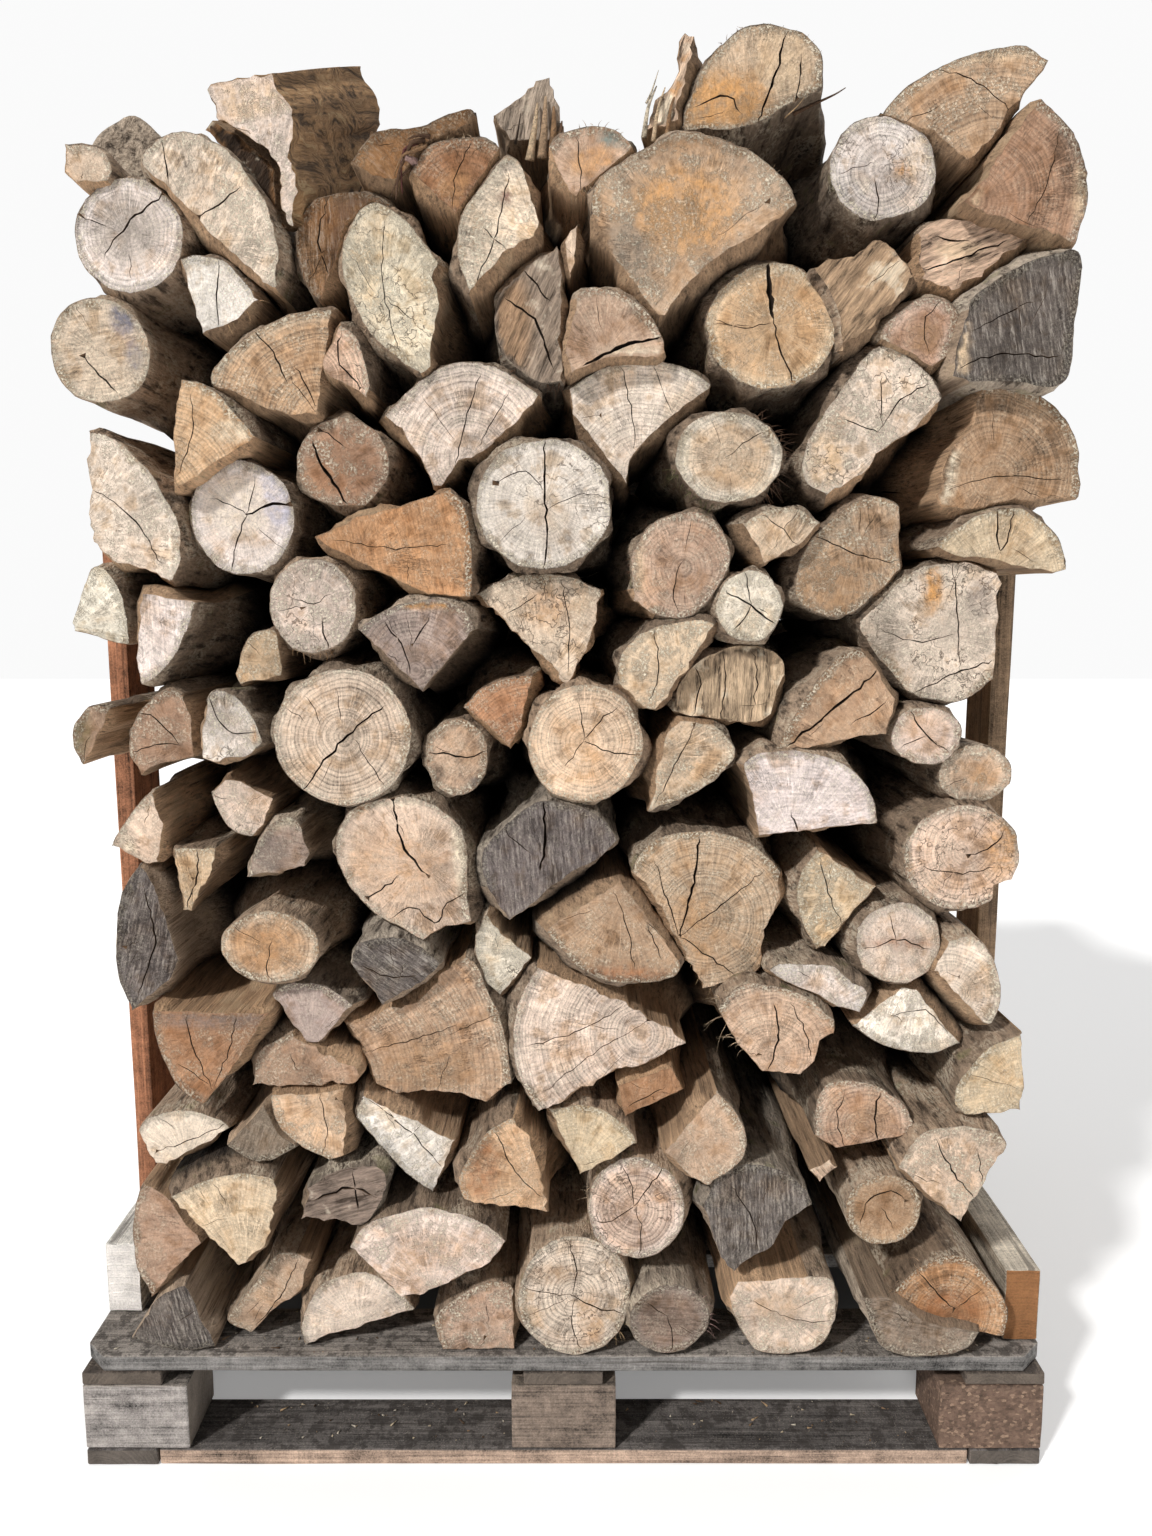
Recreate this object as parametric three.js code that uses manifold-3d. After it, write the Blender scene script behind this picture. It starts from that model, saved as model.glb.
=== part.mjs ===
// A wooden pallet stacked with split and round firewood logs, held by side sills and posts.
// Millimetres, +Z up. X runs across the front, Y from the front to the back.
// The origin is on the floor, under the middle of the pallet.

import * as THREE from "three";
import { mergeVertices } from "three/addons/utils/BufferGeometryUtils.js";
import Module from "manifold-3d";

const wasm = await Module();
wasm.setup();

// Driving dimensions of the pallet
const WIDTH = 1200;
const DEPTH = 1000;
const GAP = 0.3;
const BASE_TOP = 22;
const BLOCK_TOP = 110;
const STRINGER_TOP = 128;
const DECK_TOP = 150;
const RUNNER_WIDTH = 90;
const CROSS_BOARD_DEPTH = 95;
const BLOCK_WIDTH = 130;
const BLOCK_DEPTH = 100;
const STRINGER_WIDTH = 100;
const DECK_BOARDS = 5;
const DECK_BOARD_DEPTH = 100;
const CORNER_CUT = 28;
const BUTT_GAP = 2;

// Driving dimensions of the sills and posts
const SILL_WIDTH = 45;
const SILL_TOP = 247;
const SILL_BACK = 985;
const SILL_FRONT = { left: 90, right: 31 };
const POST_WIDTH = 27;
const POST_DEPTH = 95;
const POST_TOP = 1150;
const POST_FRONTS = { left: [209, 700], right: [240, 690] };

// The logs. The outlines are as seen from EYE on the plane of the pallet's front edge, Y = 0.
const EYE = new THREE.Vector3(15.5, -1312, 1079);
const ROW_LENGTH = 492;
const STAGGER = 13;
const STAGGER_TURN = 2.3;
const INNER_STAGGER = 4;
const INNER_STAGGER_TURN = 1.7;
const MERGE_DISTANCE = 1e-4;
const ROUND_SIDES = 12;
const BARK_STEP = 50;
const LOG_CLEARANCE = 0.4;
const CONTACT_LAP = 1.2;
const DECK_CLEARANCE = 0.6;

const COLOURS = {
  boards: 0x8d8478,
  base: 0x6f6459,
  blocks: 0x8f7c66,
  sills: 0xb49a74,
  posts: 0xa98560,
  cream: 0xd9c6a4,
  white: 0xd8d2c8,
  pink: 0xd3b294,
  tan: 0xc09a6b,
  orange: 0xb87f48,
  ochre: 0xbd9550,
  brown: 0x8a6746,
  grey: 0x857c72,
  slate: 0x5d5f63,
};

// A split log is the corners of its split faces and the curve of its bark, which runs from the last corner
// back to the first. A round log is the centre and the two radii of its cut end.
// Options: y is the depth of its front end, back the depth of its other end, lean its shift over that length.
const split = (tone, corners, bark, options = {}) => ({ tone, corners, bark, ...options });
const round = (tone, x, z, radiusX, radiusZ, options = {}) => ({ tone, x, z, radiusX, radiusZ, ...options });

const LOGS = {
  a1: split("grey", [[-540, 172], [-500, 230], [-462, 252], [-430, 160]], [[-485, 156]], { y: 8 }),
  a2: split("orange", [[-512, 380], [-480, 357], [-440, 301], [-505, 232]], [[-524, 270], [-527, 330]]),
  a3: split("pink", [[-347, 388], [-345, 365], [-362, 292], [-399, 264], [-481, 359]],
    [[-452, 377], [-417, 393], [-380, 396]]),
  a4: split("tan", [[-387, 175], [-357, 209], [-320, 240], [-304, 284], [-325, 295]],
    [[-352, 288], [-400, 223], [-420, 193]], { y: 30 }),
  a5: split("cream", [[-181, 209], [-319, 167]], [[-325, 200], [-297, 251], [-243, 263],
    [-203, 236]], { y: 24 }),
  a6: split("brown", [[-252, 322], [-277, 331], [-319, 334], [-312, 374]],
    [[-270, 398], [-225, 400], [-212, 375], [-237, 328]]),
  a7: split("cream", [[-396, 449], [-479, 400], [-494, 403], [-513, 446]], [[-501, 464], [-451, 477],
    [-410, 463]]),
  a8: split("slate", [[-408, 429], [-360, 479], [-343, 443], [-320, 426]], [[-366, 406]]),
  a9: split("cream", [[-353, 492], [-260, 500], [-257, 443], [-262, 416], [-282, 413]], [[-326, 431],
    [-350, 462]]),
  a10: split("white", [[-239, 497], [-210, 479], [-128, 434], [-158, 363]], [[-193, 390], [-229, 437],
    [-252, 470]]),

  b1: split("orange", [[-60, 468], [-38, 440], [-23, 389], [-14, 334], [-79, 344], [-120, 356]],
    [[-129, 385], [-112, 425], [-90, 452]]),
  b2: split("tan", [[93, 431], [19, 386], [-20, 474]], [[30, 482], [75, 460]]),
  b3: round("pink", 88, 346, 62, 66),
  b4: round("cream", 14, 231, 72, 78, { y: 4 }),
  b5: round("grey", 131, 199, 52, 48, { y: -4 }),
  b6: split("ochre", [[-60, 240], [-60, 160], [-150, 160]], [[-158, 205], [-120, 240],
    [-75, 250]], { y: 13 }),
  b7: split("pink", [[-67, 303], [-88, 273], [-124, 256], [-170, 231], [-200, 226], [-260, 296]],
    [[-243, 326], [-195, 345], [-153, 348], [-110, 336]]),
  b8: split("brown", [[62, 508], [130, 529], [147, 497], [73, 461]], []),
  b9: split("tan", [[176, 373], [144, 394], [121, 420], [184, 499]], [[208, 474], [222, 440], [217, 408]]),

  c1: split("slate", [[305, 350], [274, 326], [258, 300], [209, 264], [190, 282], [168, 345]],
    [[184, 386], [223, 404], [258, 400], [290, 377]]),
  c2: split("cream", [[206, 208], [203, 228], [214, 250], [300, 261]],
    [[328, 256], [338, 225], [334, 188], [318, 162], [285, 151], [240, 153], [220, 178]], { y: -2 }),
  c3: split("grey", [[518, 181], [440, 203], [402, 232], [366, 232]],
    [[376, 192], [394, 160], [430, 150], [478, 150], [508, 160]], { y: -12 }),
  c4: split("orange", [[547, 173], [454, 191], [437, 201], [401, 230]], [[437, 274], [483, 288],
    [523, 257], [549, 215]]),
  c5: round("tan", 389, 345, 50, 47),
  c6: split("ochre", [[538, 430], [511, 376], [486, 327], [466, 340], [400, 398]], [[428, 443],
    [483, 456], [520, 448]]),
  c7: split("tan", [[303, 437], [330, 419], [380, 431], [424, 444]],
    [[420, 468], [392, 497], [350, 514], [316, 510], [301, 478]]),
  c8: split("pink", [[298, 396], [311, 380], [334, 400], [322, 412]], []),
  c9: split("tan", [[482, 465], [551, 470], [555, 500], [548, 575]], [[505, 552], [470, 512], [466, 482]]),

  d1: split("slate", [[-494, 773], [-484, 765], [-462, 704], [-449, 659], [-457, 635], [-508, 598]],
    [[-524, 640], [-527, 690], [-516, 740]]),
  d2: split("orange", [[-490, 597], [-345, 597], [-400, 516], [-432, 477]], [[-463, 500], [-487, 555]]),
  d3: split("tan", [[-399, 797], [-401, 780], [-433, 716], [-447, 717], [-453, 794]], [[-425, 799]]),
  d4: split("grey", [[-300, 823], [-296, 801], [-291, 787], [-300, 770], [-331, 761], [-370, 757]],
    [[-357, 801], [-340, 824], [-318, 836]]),
  d5: round("tan", -344, 675, 62, 46),
  d6: split("grey", [[-243, 605], [-291, 558], [-306, 557], [-334, 593], [-348, 615]], [[-330, 631],
    [-283, 630]]),
  d7: split("brown", [[-322, 573], [-306, 558], [-283, 546], [-246, 533], [-237, 520], [-243, 508],
    [-300, 501],
    [-374, 501]], [[-366, 545]]),
  d8: split("slate", [[-141, 654], [-165, 628], [-214, 601], [-253, 655]], [[-244, 679], [-212, 690],
    [-181, 686], [-157, 672]]),
  d9: split("tan", [[-59, 507], [-92, 479], [-136, 494], [-200, 488], [-227, 502], [-243, 547], [-266, 581],
    [-181, 608], [-144, 647], [-114, 664]], [[-96, 652], [-67, 570]]),

  e1: split("tan", [[-104, 703], [-136, 696], [-164, 681]],
    [[-214, 710], [-243, 739], [-262, 775], [-263, 811], [-245, 843], [-200, 856], [-153, 849], [-122, 826],
      [-110, 790], [-109, 740]]),
  e2: split("slate", [[66, 803], [47, 783], [1, 756], [-24, 731], [-63, 704], [-90, 745]],
    [[-97, 775], [-85, 805], [-39, 844], [-10, 850], [41, 834]]),
  e3: split("white", [[-88, 719], [-79, 704], [-36, 662], [-60, 626], [-74, 614]], [[-92, 630],
    [-104, 660], [-104, 695]]),
  e4: split("tan", [[-24, 696], [68, 757], [141, 659]], [[136, 638], [79, 628], [19, 647]]),
  e5: split("pink", [[-32, 655], [76, 608], [132, 573], [149, 553], [112, 530], [64, 521], [-28, 470]],
    [[-52, 510], [-61, 560], [-55, 610]]),
  e6: split("tan", [[259, 765], [257, 730], [237, 687], [234, 650], [223, 630], [180, 623], [163, 623],
    [141, 667],
    [119, 710], [93, 750], [76, 767]], [[93, 797], [113, 811], [161, 817], [203, 808], [237, 788]]),

  f1: split("tan", [[326, 585], [325, 566], [308, 557], [304, 530], [286, 512], [238, 518], [196, 572],
    [182, 600]],
    [[200, 625], [232, 634], [286, 618]]),
  f2: split("tan", [[294, 797], [366, 750], [311, 672], [298, 668]], [[276, 708], [273, 755]]),
  f3: round("pink", 394, 679, 52, 51),
  f4: split("white", [[361, 599], [354, 590], [326, 599], [266, 630], [241, 647]],
    [[249, 657], [314, 657], [340, 637], [364, 619]]),
  f5: split("white", [[340, 581], [363, 599], [400, 627], [420, 624], [475, 556]], [[440, 543],
    [380, 551]]),
  f6: split("pink", [[509, 576], [497, 581], [451, 627], [434, 645], [452, 683]], [[483, 690],
    [512, 655], [521, 615]]),
  f7: split("cream", [[533, 776], [523, 756], [503, 749], [503, 734]],
    [[494, 726], [471, 719], [437, 721], [409, 742], [393, 779], [402, 815], [429, 839], [465, 847],
    [500, 837],
      [529, 809]]),

  g1: split("cream", [[-533, 1116], [-556, 1053], [-550, 1043], [-488, 1025]], [[-488, 1060],
    [-503, 1103], [-520, 1120]]),
  g2: split("white", [[-411, 1077], [-451, 1084], [-472, 1087], [-482, 1034], [-487, 1008], [-480, 980]],
    [[-460, 991], [-440, 1011], [-423, 1043]]),
  g3: split("tan", [[-323, 1046], [-317, 1003], [-319, 993], [-366, 981], [-374, 996], [-363, 1031]],
    [[-345, 1045]]),
  g4: round("cream", -281, 1072, 53, 55),
  g5: split("slate", [[-98, 1045], [-159, 973], [-200, 1013], [-234, 1045]],
    [[-226, 1056], [-190, 1073], [-147, 1082], [-108, 1070]]),
  g6: split("brown", [[-513, 958], [-523, 934], [-540, 900], [-549, 891]], [[-560, 912], [-559, 940],
    [-537, 961]]),
  g7: split("tan", [[-429, 975], [-419, 943], [-423, 900], [-463, 890], [-486, 878], [-499, 897]],
    [[-499, 925], [-477, 963], [-448, 981]]),
  g8: split("cream", [[-349, 907], [-363, 899], [-400, 894], [-415, 897], [-414, 937], [-410, 963]],
    [[-396, 981], [-371, 974], [-350, 943], [-339, 917]]),
  g9: split("pink", [[-356, 806], [-343, 820], [-331, 853], [-354, 864], [-371, 873], [-389, 873],
    [-409, 861]],
    [[-400, 832], [-378, 811]]),
  g10: round("tan", -251, 924, 81, 81),
  g11: split("pink", [[-466, 866], [-464, 849], [-461, 817], [-467, 797], [-469, 774], [-482, 770],
    [-529, 793]],
    [[-522, 808], [-500, 836], [-486, 852]]),

  h1: split("cream", [[-99, 1084], [-81, 1066], [-27, 1020], [6, 983], [19, 1003], [33, 1020],
    [44, 1074], [47, 1091]],
    [[24, 1103], [1, 1109], [-27, 1110], [-60, 1105]]),
  h2: round("tan", 26, 916, 68, 71),
  h3: round("tan", -121, 901, 38, 46),
  h4: split("orange", [[-31, 997], [-44, 937], [-59, 907], [-84, 931], [-115, 957]], [[-96, 977],
    [-60, 993]]),
  h5: split("cream", [[173, 1053], [159, 1023], [121, 969], [107, 954], [93, 956], [64, 983]],
    [[59, 1006], [73, 1030], [101, 1051], [145, 1059]]),
  h6: split("brown", [[256, 994], [249, 983], [240, 949], [230, 940], [209, 936], [147, 946], [123, 953]],
    [[133, 989], [165, 1020], [208, 1031], [249, 1018]]),
  h7: split("pink", [[97, 834], [106, 886], [119, 931], [133, 946], [173, 939]], [[194, 922],
    [201, 900], [179, 874], [141, 849]]),

  i1: round("white", 211, 1072, 39, 42),
  i2: split("white", [[437, 1123], [463, 1120], [489, 1109], [496, 1097], [491, 1083], [495, 1060],
    [494, 1023], [491, 989]],
    [[466, 968], [430, 962], [391, 974], [351, 1020], [333, 1050], [350, 1072], [391, 1112]]),
  i3: split("brown", [[340, 1023], [366, 991], [383, 969], [371, 926], [334, 920], [294, 911], [243, 909]],
    [[256, 935], [286, 985], [312, 1018]]),
  i4: round("white", 415, 925, 42, 37),
  i5: round("ochre", 474, 880, 46, 37),
  i6: split("white", [[367, 821], [306, 816], [227, 806], [217, 857], [206, 891]], [[222, 906],
    [271, 910], [323, 894], [357, 860]]),

  j1: round("pink", -503, 1347, 56, 58),
  j2: split("cream", [[-524, 1266], [-527, 1213], [-530, 1141], [-506, 1121], [-440, 1097]],
    [[-423, 1124], [-426, 1165], [-445, 1207], [-472, 1240], [-495, 1260]]),
  j3: split("orange", [[-333, 1256], [-371, 1231], [-417, 1201], [-430, 1200], [-429, 1259], [-420, 1320]],
    [[-400, 1318], [-377, 1303], [-352, 1278]]),
  j4: round("white", -355, 1169, 60, 64),
  j5: split("tan", [[-249, 1394], [-256, 1344], [-266, 1276], [-300, 1279], [-331, 1287], [-357, 1303],
    [-383, 1309]],
    [[-384, 1328], [-343, 1367], [-300, 1389]]),
  j6: split("ochre", [[-209, 1307], [-214, 1296], [-260, 1321], [-264, 1339], [-241, 1377]],
    [[-222, 1364], [-211, 1335]]),
  j7: round("brown", -242, 1228, 53, 50),
  j8: split("orange", [[-102, 1080], [-151, 1083], [-193, 1102], [-263, 1136], [-277, 1149],
    [-229, 1171], [-180, 1183],
    [-125, 1202]], [[-106, 1182], [-99, 1130]]),

  k1: split("cream", [[-131, 1440], [-138, 1425], [-129, 1404], [-140, 1350], [-141, 1330], [-153, 1320]],
    [[-181, 1336], [-215, 1370], [-239, 1435], [-226, 1483], [-200, 1504], [-165, 1486]]),
  k2: split("tan", [[-21, 1300], [-50, 1270], [-87, 1239], [-113, 1229], [-133, 1201], [-145, 1202],
    [-161, 1233],
    [-179, 1264], [-197, 1279]], [[-173, 1304], [-141, 1330], [-101, 1339], [-61, 1327]]),
  k3: round("white", -21, 1184, 78, 74),
  k4: split("grey", [[-70, 1412], [-50, 1429], [-24, 1451], [-4, 1459], [4, 1425], [1, 1359], [2, 1314]],
    [[-30, 1312], [-62, 1337], [-77, 1375]]),
  k5: split("grey", [[-1, 1461], [7, 1474], [19, 1480], [19, 1452], [9, 1420]], [], { back: 420 }),
  k6: split("tan", [[109, 1370], [114, 1345], [104, 1340], [53, 1339], [10, 1321], [3, 1345], [13, 1404]],
    [[30, 1418], [60, 1413], [90, 1394]]),
  k7: split("pink", [[167, 1310], [139, 1290], [101, 1259], [77, 1230], [72, 1204], [47, 1233],
    [10, 1281], [6, 1309]],
    [[47, 1333], [95, 1340], [141, 1329]]),
  k8: round("ochre", 183, 1235, 62, 52),
  k9: split("brown", [[77, 1091], [79, 1077], [104, 1060]],
    [[144, 1059], [176, 1089], [190, 1125], [172, 1166], [139, 1178], [100, 1165], [77, 1125]]),

  l1: round("pink", 229, 1373, 73, 70),
  l2: split("cream", [[269, 1434], [306, 1450], [331, 1461], [351, 1463], [374, 1440], [385, 1424],
    [369, 1404],
    [340, 1370], [303, 1345]], [[300, 1390]]),
  l3: split("brown", [[423, 1341], [406, 1327], [380, 1344], [345, 1357]],
    [[349, 1376], [380, 1401], [410, 1406], [436, 1388], [430, 1362]]),
  l4: split("cream", [[420, 1299], [391, 1264], [349, 1236], [343, 1221], [294, 1189]],
    [[270, 1205], [266, 1245], [303, 1304], [340, 1351], [374, 1350], [406, 1322]]),
  l5: split("slate", [[446, 1313], [424, 1318], [428, 1350], [440, 1392]],
    [[460, 1418], [505, 1444], [556, 1455], [565, 1440], [560, 1370], [556, 1321], [530, 1306],
    [490, 1312]]),
  l6: split("brown", [[574, 1187], [503, 1184], [449, 1174], [417, 1179], [411, 1193], [426, 1247],
    [449, 1275],
    [461, 1313]], [[500, 1312], [543, 1290], [569, 1253], [579, 1207]]),
  l7: split("pink", [[567, 1112], [551, 1107], [491, 1120], [443, 1123], [412, 1135]],
    [[440, 1163], [483, 1180], [520, 1178], [556, 1148]]),
  l8: split("ochre", [[293, 1164], [271, 1141], [224, 1116], [199, 1163]], [[226, 1180], [260, 1184]]),
  l9: split("cream", [[379, 1184], [381, 1139], [383, 1110], [351, 1082]],
    [[329, 1064], [298, 1060], [262, 1080], [270, 1136], [309, 1176], [349, 1195]]),

  m1: split("pink", [[-530, 1560], [-531, 1530], [-520, 1518], [-484, 1519]], [[-476, 1532],
    [-484, 1553], [-504, 1563]],
    { y: 4, back: 108 }),
  m2: split("brown", [[-421, 1566], [-424, 1515]], [[-460, 1500], [-497, 1512], [-502, 1555],
    [-471, 1583], [-447, 1586]],
    { y: 100, back: 470 }),
  m3: round("pink", -466, 1468, 62, 61),
  m4: split("cream", [[-443, 1530], [-423, 1514], [-383, 1471], [-326, 1417], [-309, 1412]],
    [[-304, 1449], [-314, 1497], [-340, 1540], [-380, 1570], [-420, 1570], [-449, 1545]]),
  m5: split("white", [[-334, 1412], [-327, 1401], [-357, 1376], [-391, 1364], [-403, 1407], [-413, 1443]],
    [[-395, 1448], [-360, 1440]]),
  m6: split("brown", [[-374, 1597], [-376, 1614], [-369, 1626], [-326, 1630], [-306, 1634],
    [-290, 1606], [-283, 1589],
    [-286, 1546], [-281, 1523], [-284, 1471], [-294, 1474], [-303, 1490], [-303, 1534], [-314, 1551],
    [-343, 1571],
    [-371, 1583]], [], { y: 0, back: 185, lean: [64, 84] }),
  m7: split("tan", [[-90, 1590], [-100, 1577], [-123, 1565], [-140, 1557], [-165, 1531], [-179, 1520],
    [-202, 1526], [-225, 1539]],
    [[-202, 1568], [-181, 1576], [-155, 1577], [-126, 1588], [-96, 1598]], { y: 0, back: 330 }),
  m8: split("orange", [[-181, 1494], [-203, 1499], [-230, 1480], [-243, 1437], [-262, 1396]], [[-282, 1420],
    [-288, 1455], [-276, 1496], [-256, 1508], [-234, 1513], [-213, 1514], [-193, 1508]]),

  n1: split("orange", [[-64, 1557], [-84, 1529], [-113, 1486], [-164, 1529]], [[-147, 1557],
    [-110, 1568], [-85, 1566]]),
  n2: split("cream", [[-43, 1543], [-30, 1511], [-21, 1480], [-27, 1463], [-61, 1446], [-84, 1420],
    [-100, 1403]],
    [[-114, 1445], [-111, 1483], [-85, 1524], [-58, 1552]]),
  n3: split("grey", [[-78, 1588], [-45, 1607], [-28, 1624], [-13, 1625], [-2, 1604], [2, 1578], [-10, 1560],
    [-57, 1557]], [], { y: 60, back: 430 }),
  n4: split("tan", [[79, 1554], [47, 1529], [16, 1504], [4, 1511], [-16, 1557]], [[1, 1572], [39, 1580],
    [64, 1572]]),
  n5: split("brown", [[84, 1569], [98, 1604], [117, 1626], [120, 1663], [130, 1671], [141, 1667],
    [139, 1637],
    [130, 1606], [124, 1576]], [], { y: 0, back: 250, lean: [40, 0] }),
  n6: split("ochre", [[276, 1609], [237, 1591], [217, 1580], [190, 1572], [156, 1572], [125, 1574]],
    [[130, 1600], [150, 1640], [185, 1672], [240, 1673], [276, 1645]], { y: 0, back: 480, lean: [84, 14] }),
  n7: split("ochre", [[257, 1498], [209, 1469], [161, 1437], [133, 1411], [113, 1384], [104, 1384],
    [47, 1454], [29, 1486]],
    [[36, 1518], [76, 1550], [136, 1572], [197, 1555], [245, 1522]]),

  o1: round("white", 343, 1535, 60, 56),
  o2: split("tan", [[517, 1641], [494, 1609], [474, 1586], [469, 1571], [440, 1543], [431, 1540],
    [394, 1569], [337, 1590]],
    [[363, 1617], [403, 1641], [454, 1656], [490, 1659]]),
  o3: split("tan", [[559, 1456], [494, 1477], [443, 1491], [426, 1499], [449, 1529], [469, 1563],
    [506, 1607]],
    [[537, 1580], [560, 1543], [568, 1500]]),
  o4: split("brown", [[507, 1463], [480, 1446], [449, 1420], [420, 1403], [386, 1420], [379, 1469]],
    [[403, 1484], [449, 1484], [485, 1476]]),
};

// Logs that touch are one solid, named by its place in the row
const BUNCHES = {
  logs_bottom_left: ["a1", "a2", "a3", "a4", "a5", "a6", "b1", "b7"],
  logs_bottom_middle: [
    "b2", "b3", "b4", "b5", "b6", "b8", "b9", "c1", "c2", "d8", "d9", "e1", "e3", "e5", "g10",
  ],
  logs_bottom_right: ["c3", "c4"],
  logs_low_left: ["a7", "a8", "a9", "a10", "d1", "d2", "d3", "d5", "d6", "d7", "g11"],
  logs_low_right: ["c5", "c6", "c7", "c8", "c9", "e4", "e6", "f1", "f2", "f3", "f4", "f5", "f6"],
  logs_lower_left: ["d4", "g9"],
  log_left_edge: ["g6"],
  logs_middle_left: ["g3", "g4", "g5", "g7", "g8"],
  logs_centre: ["e2", "h2", "h3", "h4", "h5", "h6", "h7", "i1", "k8", "k9", "l8", "l9"],
  logs_middle_right: ["f7", "i2", "i3", "i4", "i5", "i6", "l6", "l7"],
  logs_upper_left: ["g1", "g2", "j2", "j3", "j4", "j5", "j6", "j7"],
  logs_upper_middle: [
    "h1", "j8", "k1", "k2", "k3", "k4", "k5", "k6", "k7", "m6", "m8", "n4", "n5", "n6", "n7",
  ],
  logs_upper_right: ["l1", "l2", "l3", "l4", "l5", "o1", "o2", "o3", "o4"],
  logs_top_left: ["j1", "m1", "m2", "m3", "m4", "m5"],
  logs_top_middle: ["m7", "n1", "n2"],
  log_top_stump: ["n3"],
};

const pallet = new THREE.Group();
pallet.position.y = -DEPTH / 2;

function addMesh(name, geometry, colour) {
  const material = new THREE.MeshStandardMaterial({ color: colour, roughness: 0.9, metalness: 0 });
  const mesh = new THREE.Mesh(geometry, material);
  mesh.name = name;
  pallet.add(mesh);
}

function addBox(name, colour, [x0, x1], [y0, y1], [z0, z1]) {
  const geometry = new THREE.BoxGeometry(x1 - x0, y1 - y0, z1 - z0);
  geometry.translate((x0 + x1) / 2, (y0 + y1) / 2, (z0 + z1) / 2);
  addMesh(name, geometry, colour);
}

// The pallet: runners and cross boards on the floor, blocks, stringers and deck boards
function addBase() {
  const height = [0, BASE_TOP];
  const half = WIDTH / 2;
  const inner = half - RUNNER_WIDTH - BUTT_GAP;
  const backBoard = DEPTH - CROSS_BOARD_DEPTH;
  addBox("base_runner_left", COLOURS.base, [-half, -half + RUNNER_WIDTH], [0, DEPTH], height);
  addBox("base_runner_right", COLOURS.base, [half - RUNNER_WIDTH, half], [0, DEPTH], height);
  addBox("base_board_front", COLOURS.base, [-inner, inner], [0, CROSS_BOARD_DEPTH], height);
  addBox("base_board_back", COLOURS.base, [-inner, inner], [backBoard, DEPTH], height);
  addBox("base_runner_middle", COLOURS.base, [-STRINGER_WIDTH / 2, STRINGER_WIDTH / 2],
    [CROSS_BOARD_DEPTH + BUTT_GAP, backBoard - BUTT_GAP], height);
}

function addBlocks() {
  const columns = { left: -(WIDTH - BLOCK_WIDTH) / 2, middle: 0, right: (WIDTH - BLOCK_WIDTH) / 2 };
  const rows = { front: 0, centre: (DEPTH - BLOCK_DEPTH) / 2, back: DEPTH - BLOCK_DEPTH };
  for (const [column, x] of Object.entries(columns)) {
    for (const [row, y] of Object.entries(rows)) {
      addBox(`block_${row}_${column}`, COLOURS.blocks, [x - BLOCK_WIDTH / 2, x + BLOCK_WIDTH / 2],
        [y, y + BLOCK_DEPTH], [BASE_TOP + GAP, BLOCK_TOP]);
    }
  }
}

function addStringers() {
  const places = { left: -(WIDTH - STRINGER_WIDTH) / 2, middle: 0, right: (WIDTH - STRINGER_WIDTH) / 2 };
  for (const [place, x] of Object.entries(places)) {
    addBox(`stringer_${place}`, COLOURS.boards, [x - STRINGER_WIDTH / 2, x + STRINGER_WIDTH / 2], [0, DEPTH],
      [BLOCK_TOP + GAP, STRINGER_TOP]);
  }
}

// A board seen from above, with its front or back corners sawn off where a cut is given
function outlineFromAbove(front, back, frontCut, backCut) {
  const half = WIDTH / 2;
  const frontRight = [[half - frontCut, front], [half, front + frontCut]];
  const right = [...frontRight, [half, back - backCut], [half - backCut, back]];
  const left = right.map(([x, y]) => [-x, y]).reverse();
  const corners = [...right, ...left].map(([x, y]) => new THREE.Vector2(x, y));
  return corners.filter((corner, i) => i === 0 || !corner.equals(corners[i - 1]));
}

function addDeck() {
  const pitch = (DEPTH - DECK_BOARD_DEPTH) / (DECK_BOARDS - 1);
  for (let i = 0; i < DECK_BOARDS; i += 1) {
    const front = i * pitch;
    const frontCut = i === 0 ? CORNER_CUT : 0;
    const backCut = i === DECK_BOARDS - 1 ? CORNER_CUT : 0;
    const outline = outlineFromAbove(front, front + DECK_BOARD_DEPTH, frontCut, backCut);
    const thickness = DECK_TOP - STRINGER_TOP - GAP;
    const settings = { depth: thickness, bevelEnabled: false };
    const geometry = new THREE.ExtrudeGeometry(new THREE.Shape(outline), settings);
    geometry.translate(0, 0, STRINGER_TOP + GAP);
    addMesh(`deck_board_${i + 1}`, geometry, COLOURS.boards);
  }
}

// Sills on edge along both sides of the deck, with two posts standing on each
function addSidesOfStack() {
  for (const [side, sign] of [["left", -1], ["right", 1]]) {
    const span = (inner) => [sign * inner, sign * WIDTH / 2].sort((a, b) => a - b);
    addBox(`sill_${side}`, COLOURS.sills, span(WIDTH / 2 - SILL_WIDTH), [SILL_FRONT[side], SILL_BACK],
      [DECK_TOP + GAP, SILL_TOP]);
    POST_FRONTS[side].forEach((y, i) => {
      addBox(`post_${side}_${["front", "back"][i]}`, COLOURS.posts, span(WIDTH / 2 - POST_WIDTH),
        [y, y + POST_DEPTH], [SILL_TOP + GAP, POST_TOP]);
    });
  }
}

// Outlines of the logs' ends, as points of X and Z
function drawOutline(log) {
  if (log.radiusX) {
    return Array.from({ length: ROUND_SIDES }, (_, i) => {
      const angle = (i + 0.5) / ROUND_SIDES * 2 * Math.PI;
      return new THREE.Vector2(log.x + Math.cos(angle) * log.radiusX, log.z + Math.sin(angle) * log.radiusZ);
    });
  }
  const corners = log.corners.map(([x, z]) => new THREE.Vector2(x, z));
  if (log.bark.length === 0) return corners;
  const bark = log.bark.map(([x, z]) => new THREE.Vector2(x, z));
  const curve = new THREE.SplineCurve([corners.at(-1), ...bark, corners[0]]);
  const steps = Math.max(2, Math.round(curve.getLength() / BARK_STEP));
  return [...corners, ...curve.getSpacedPoints(steps).slice(1, -1)];
}

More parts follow.
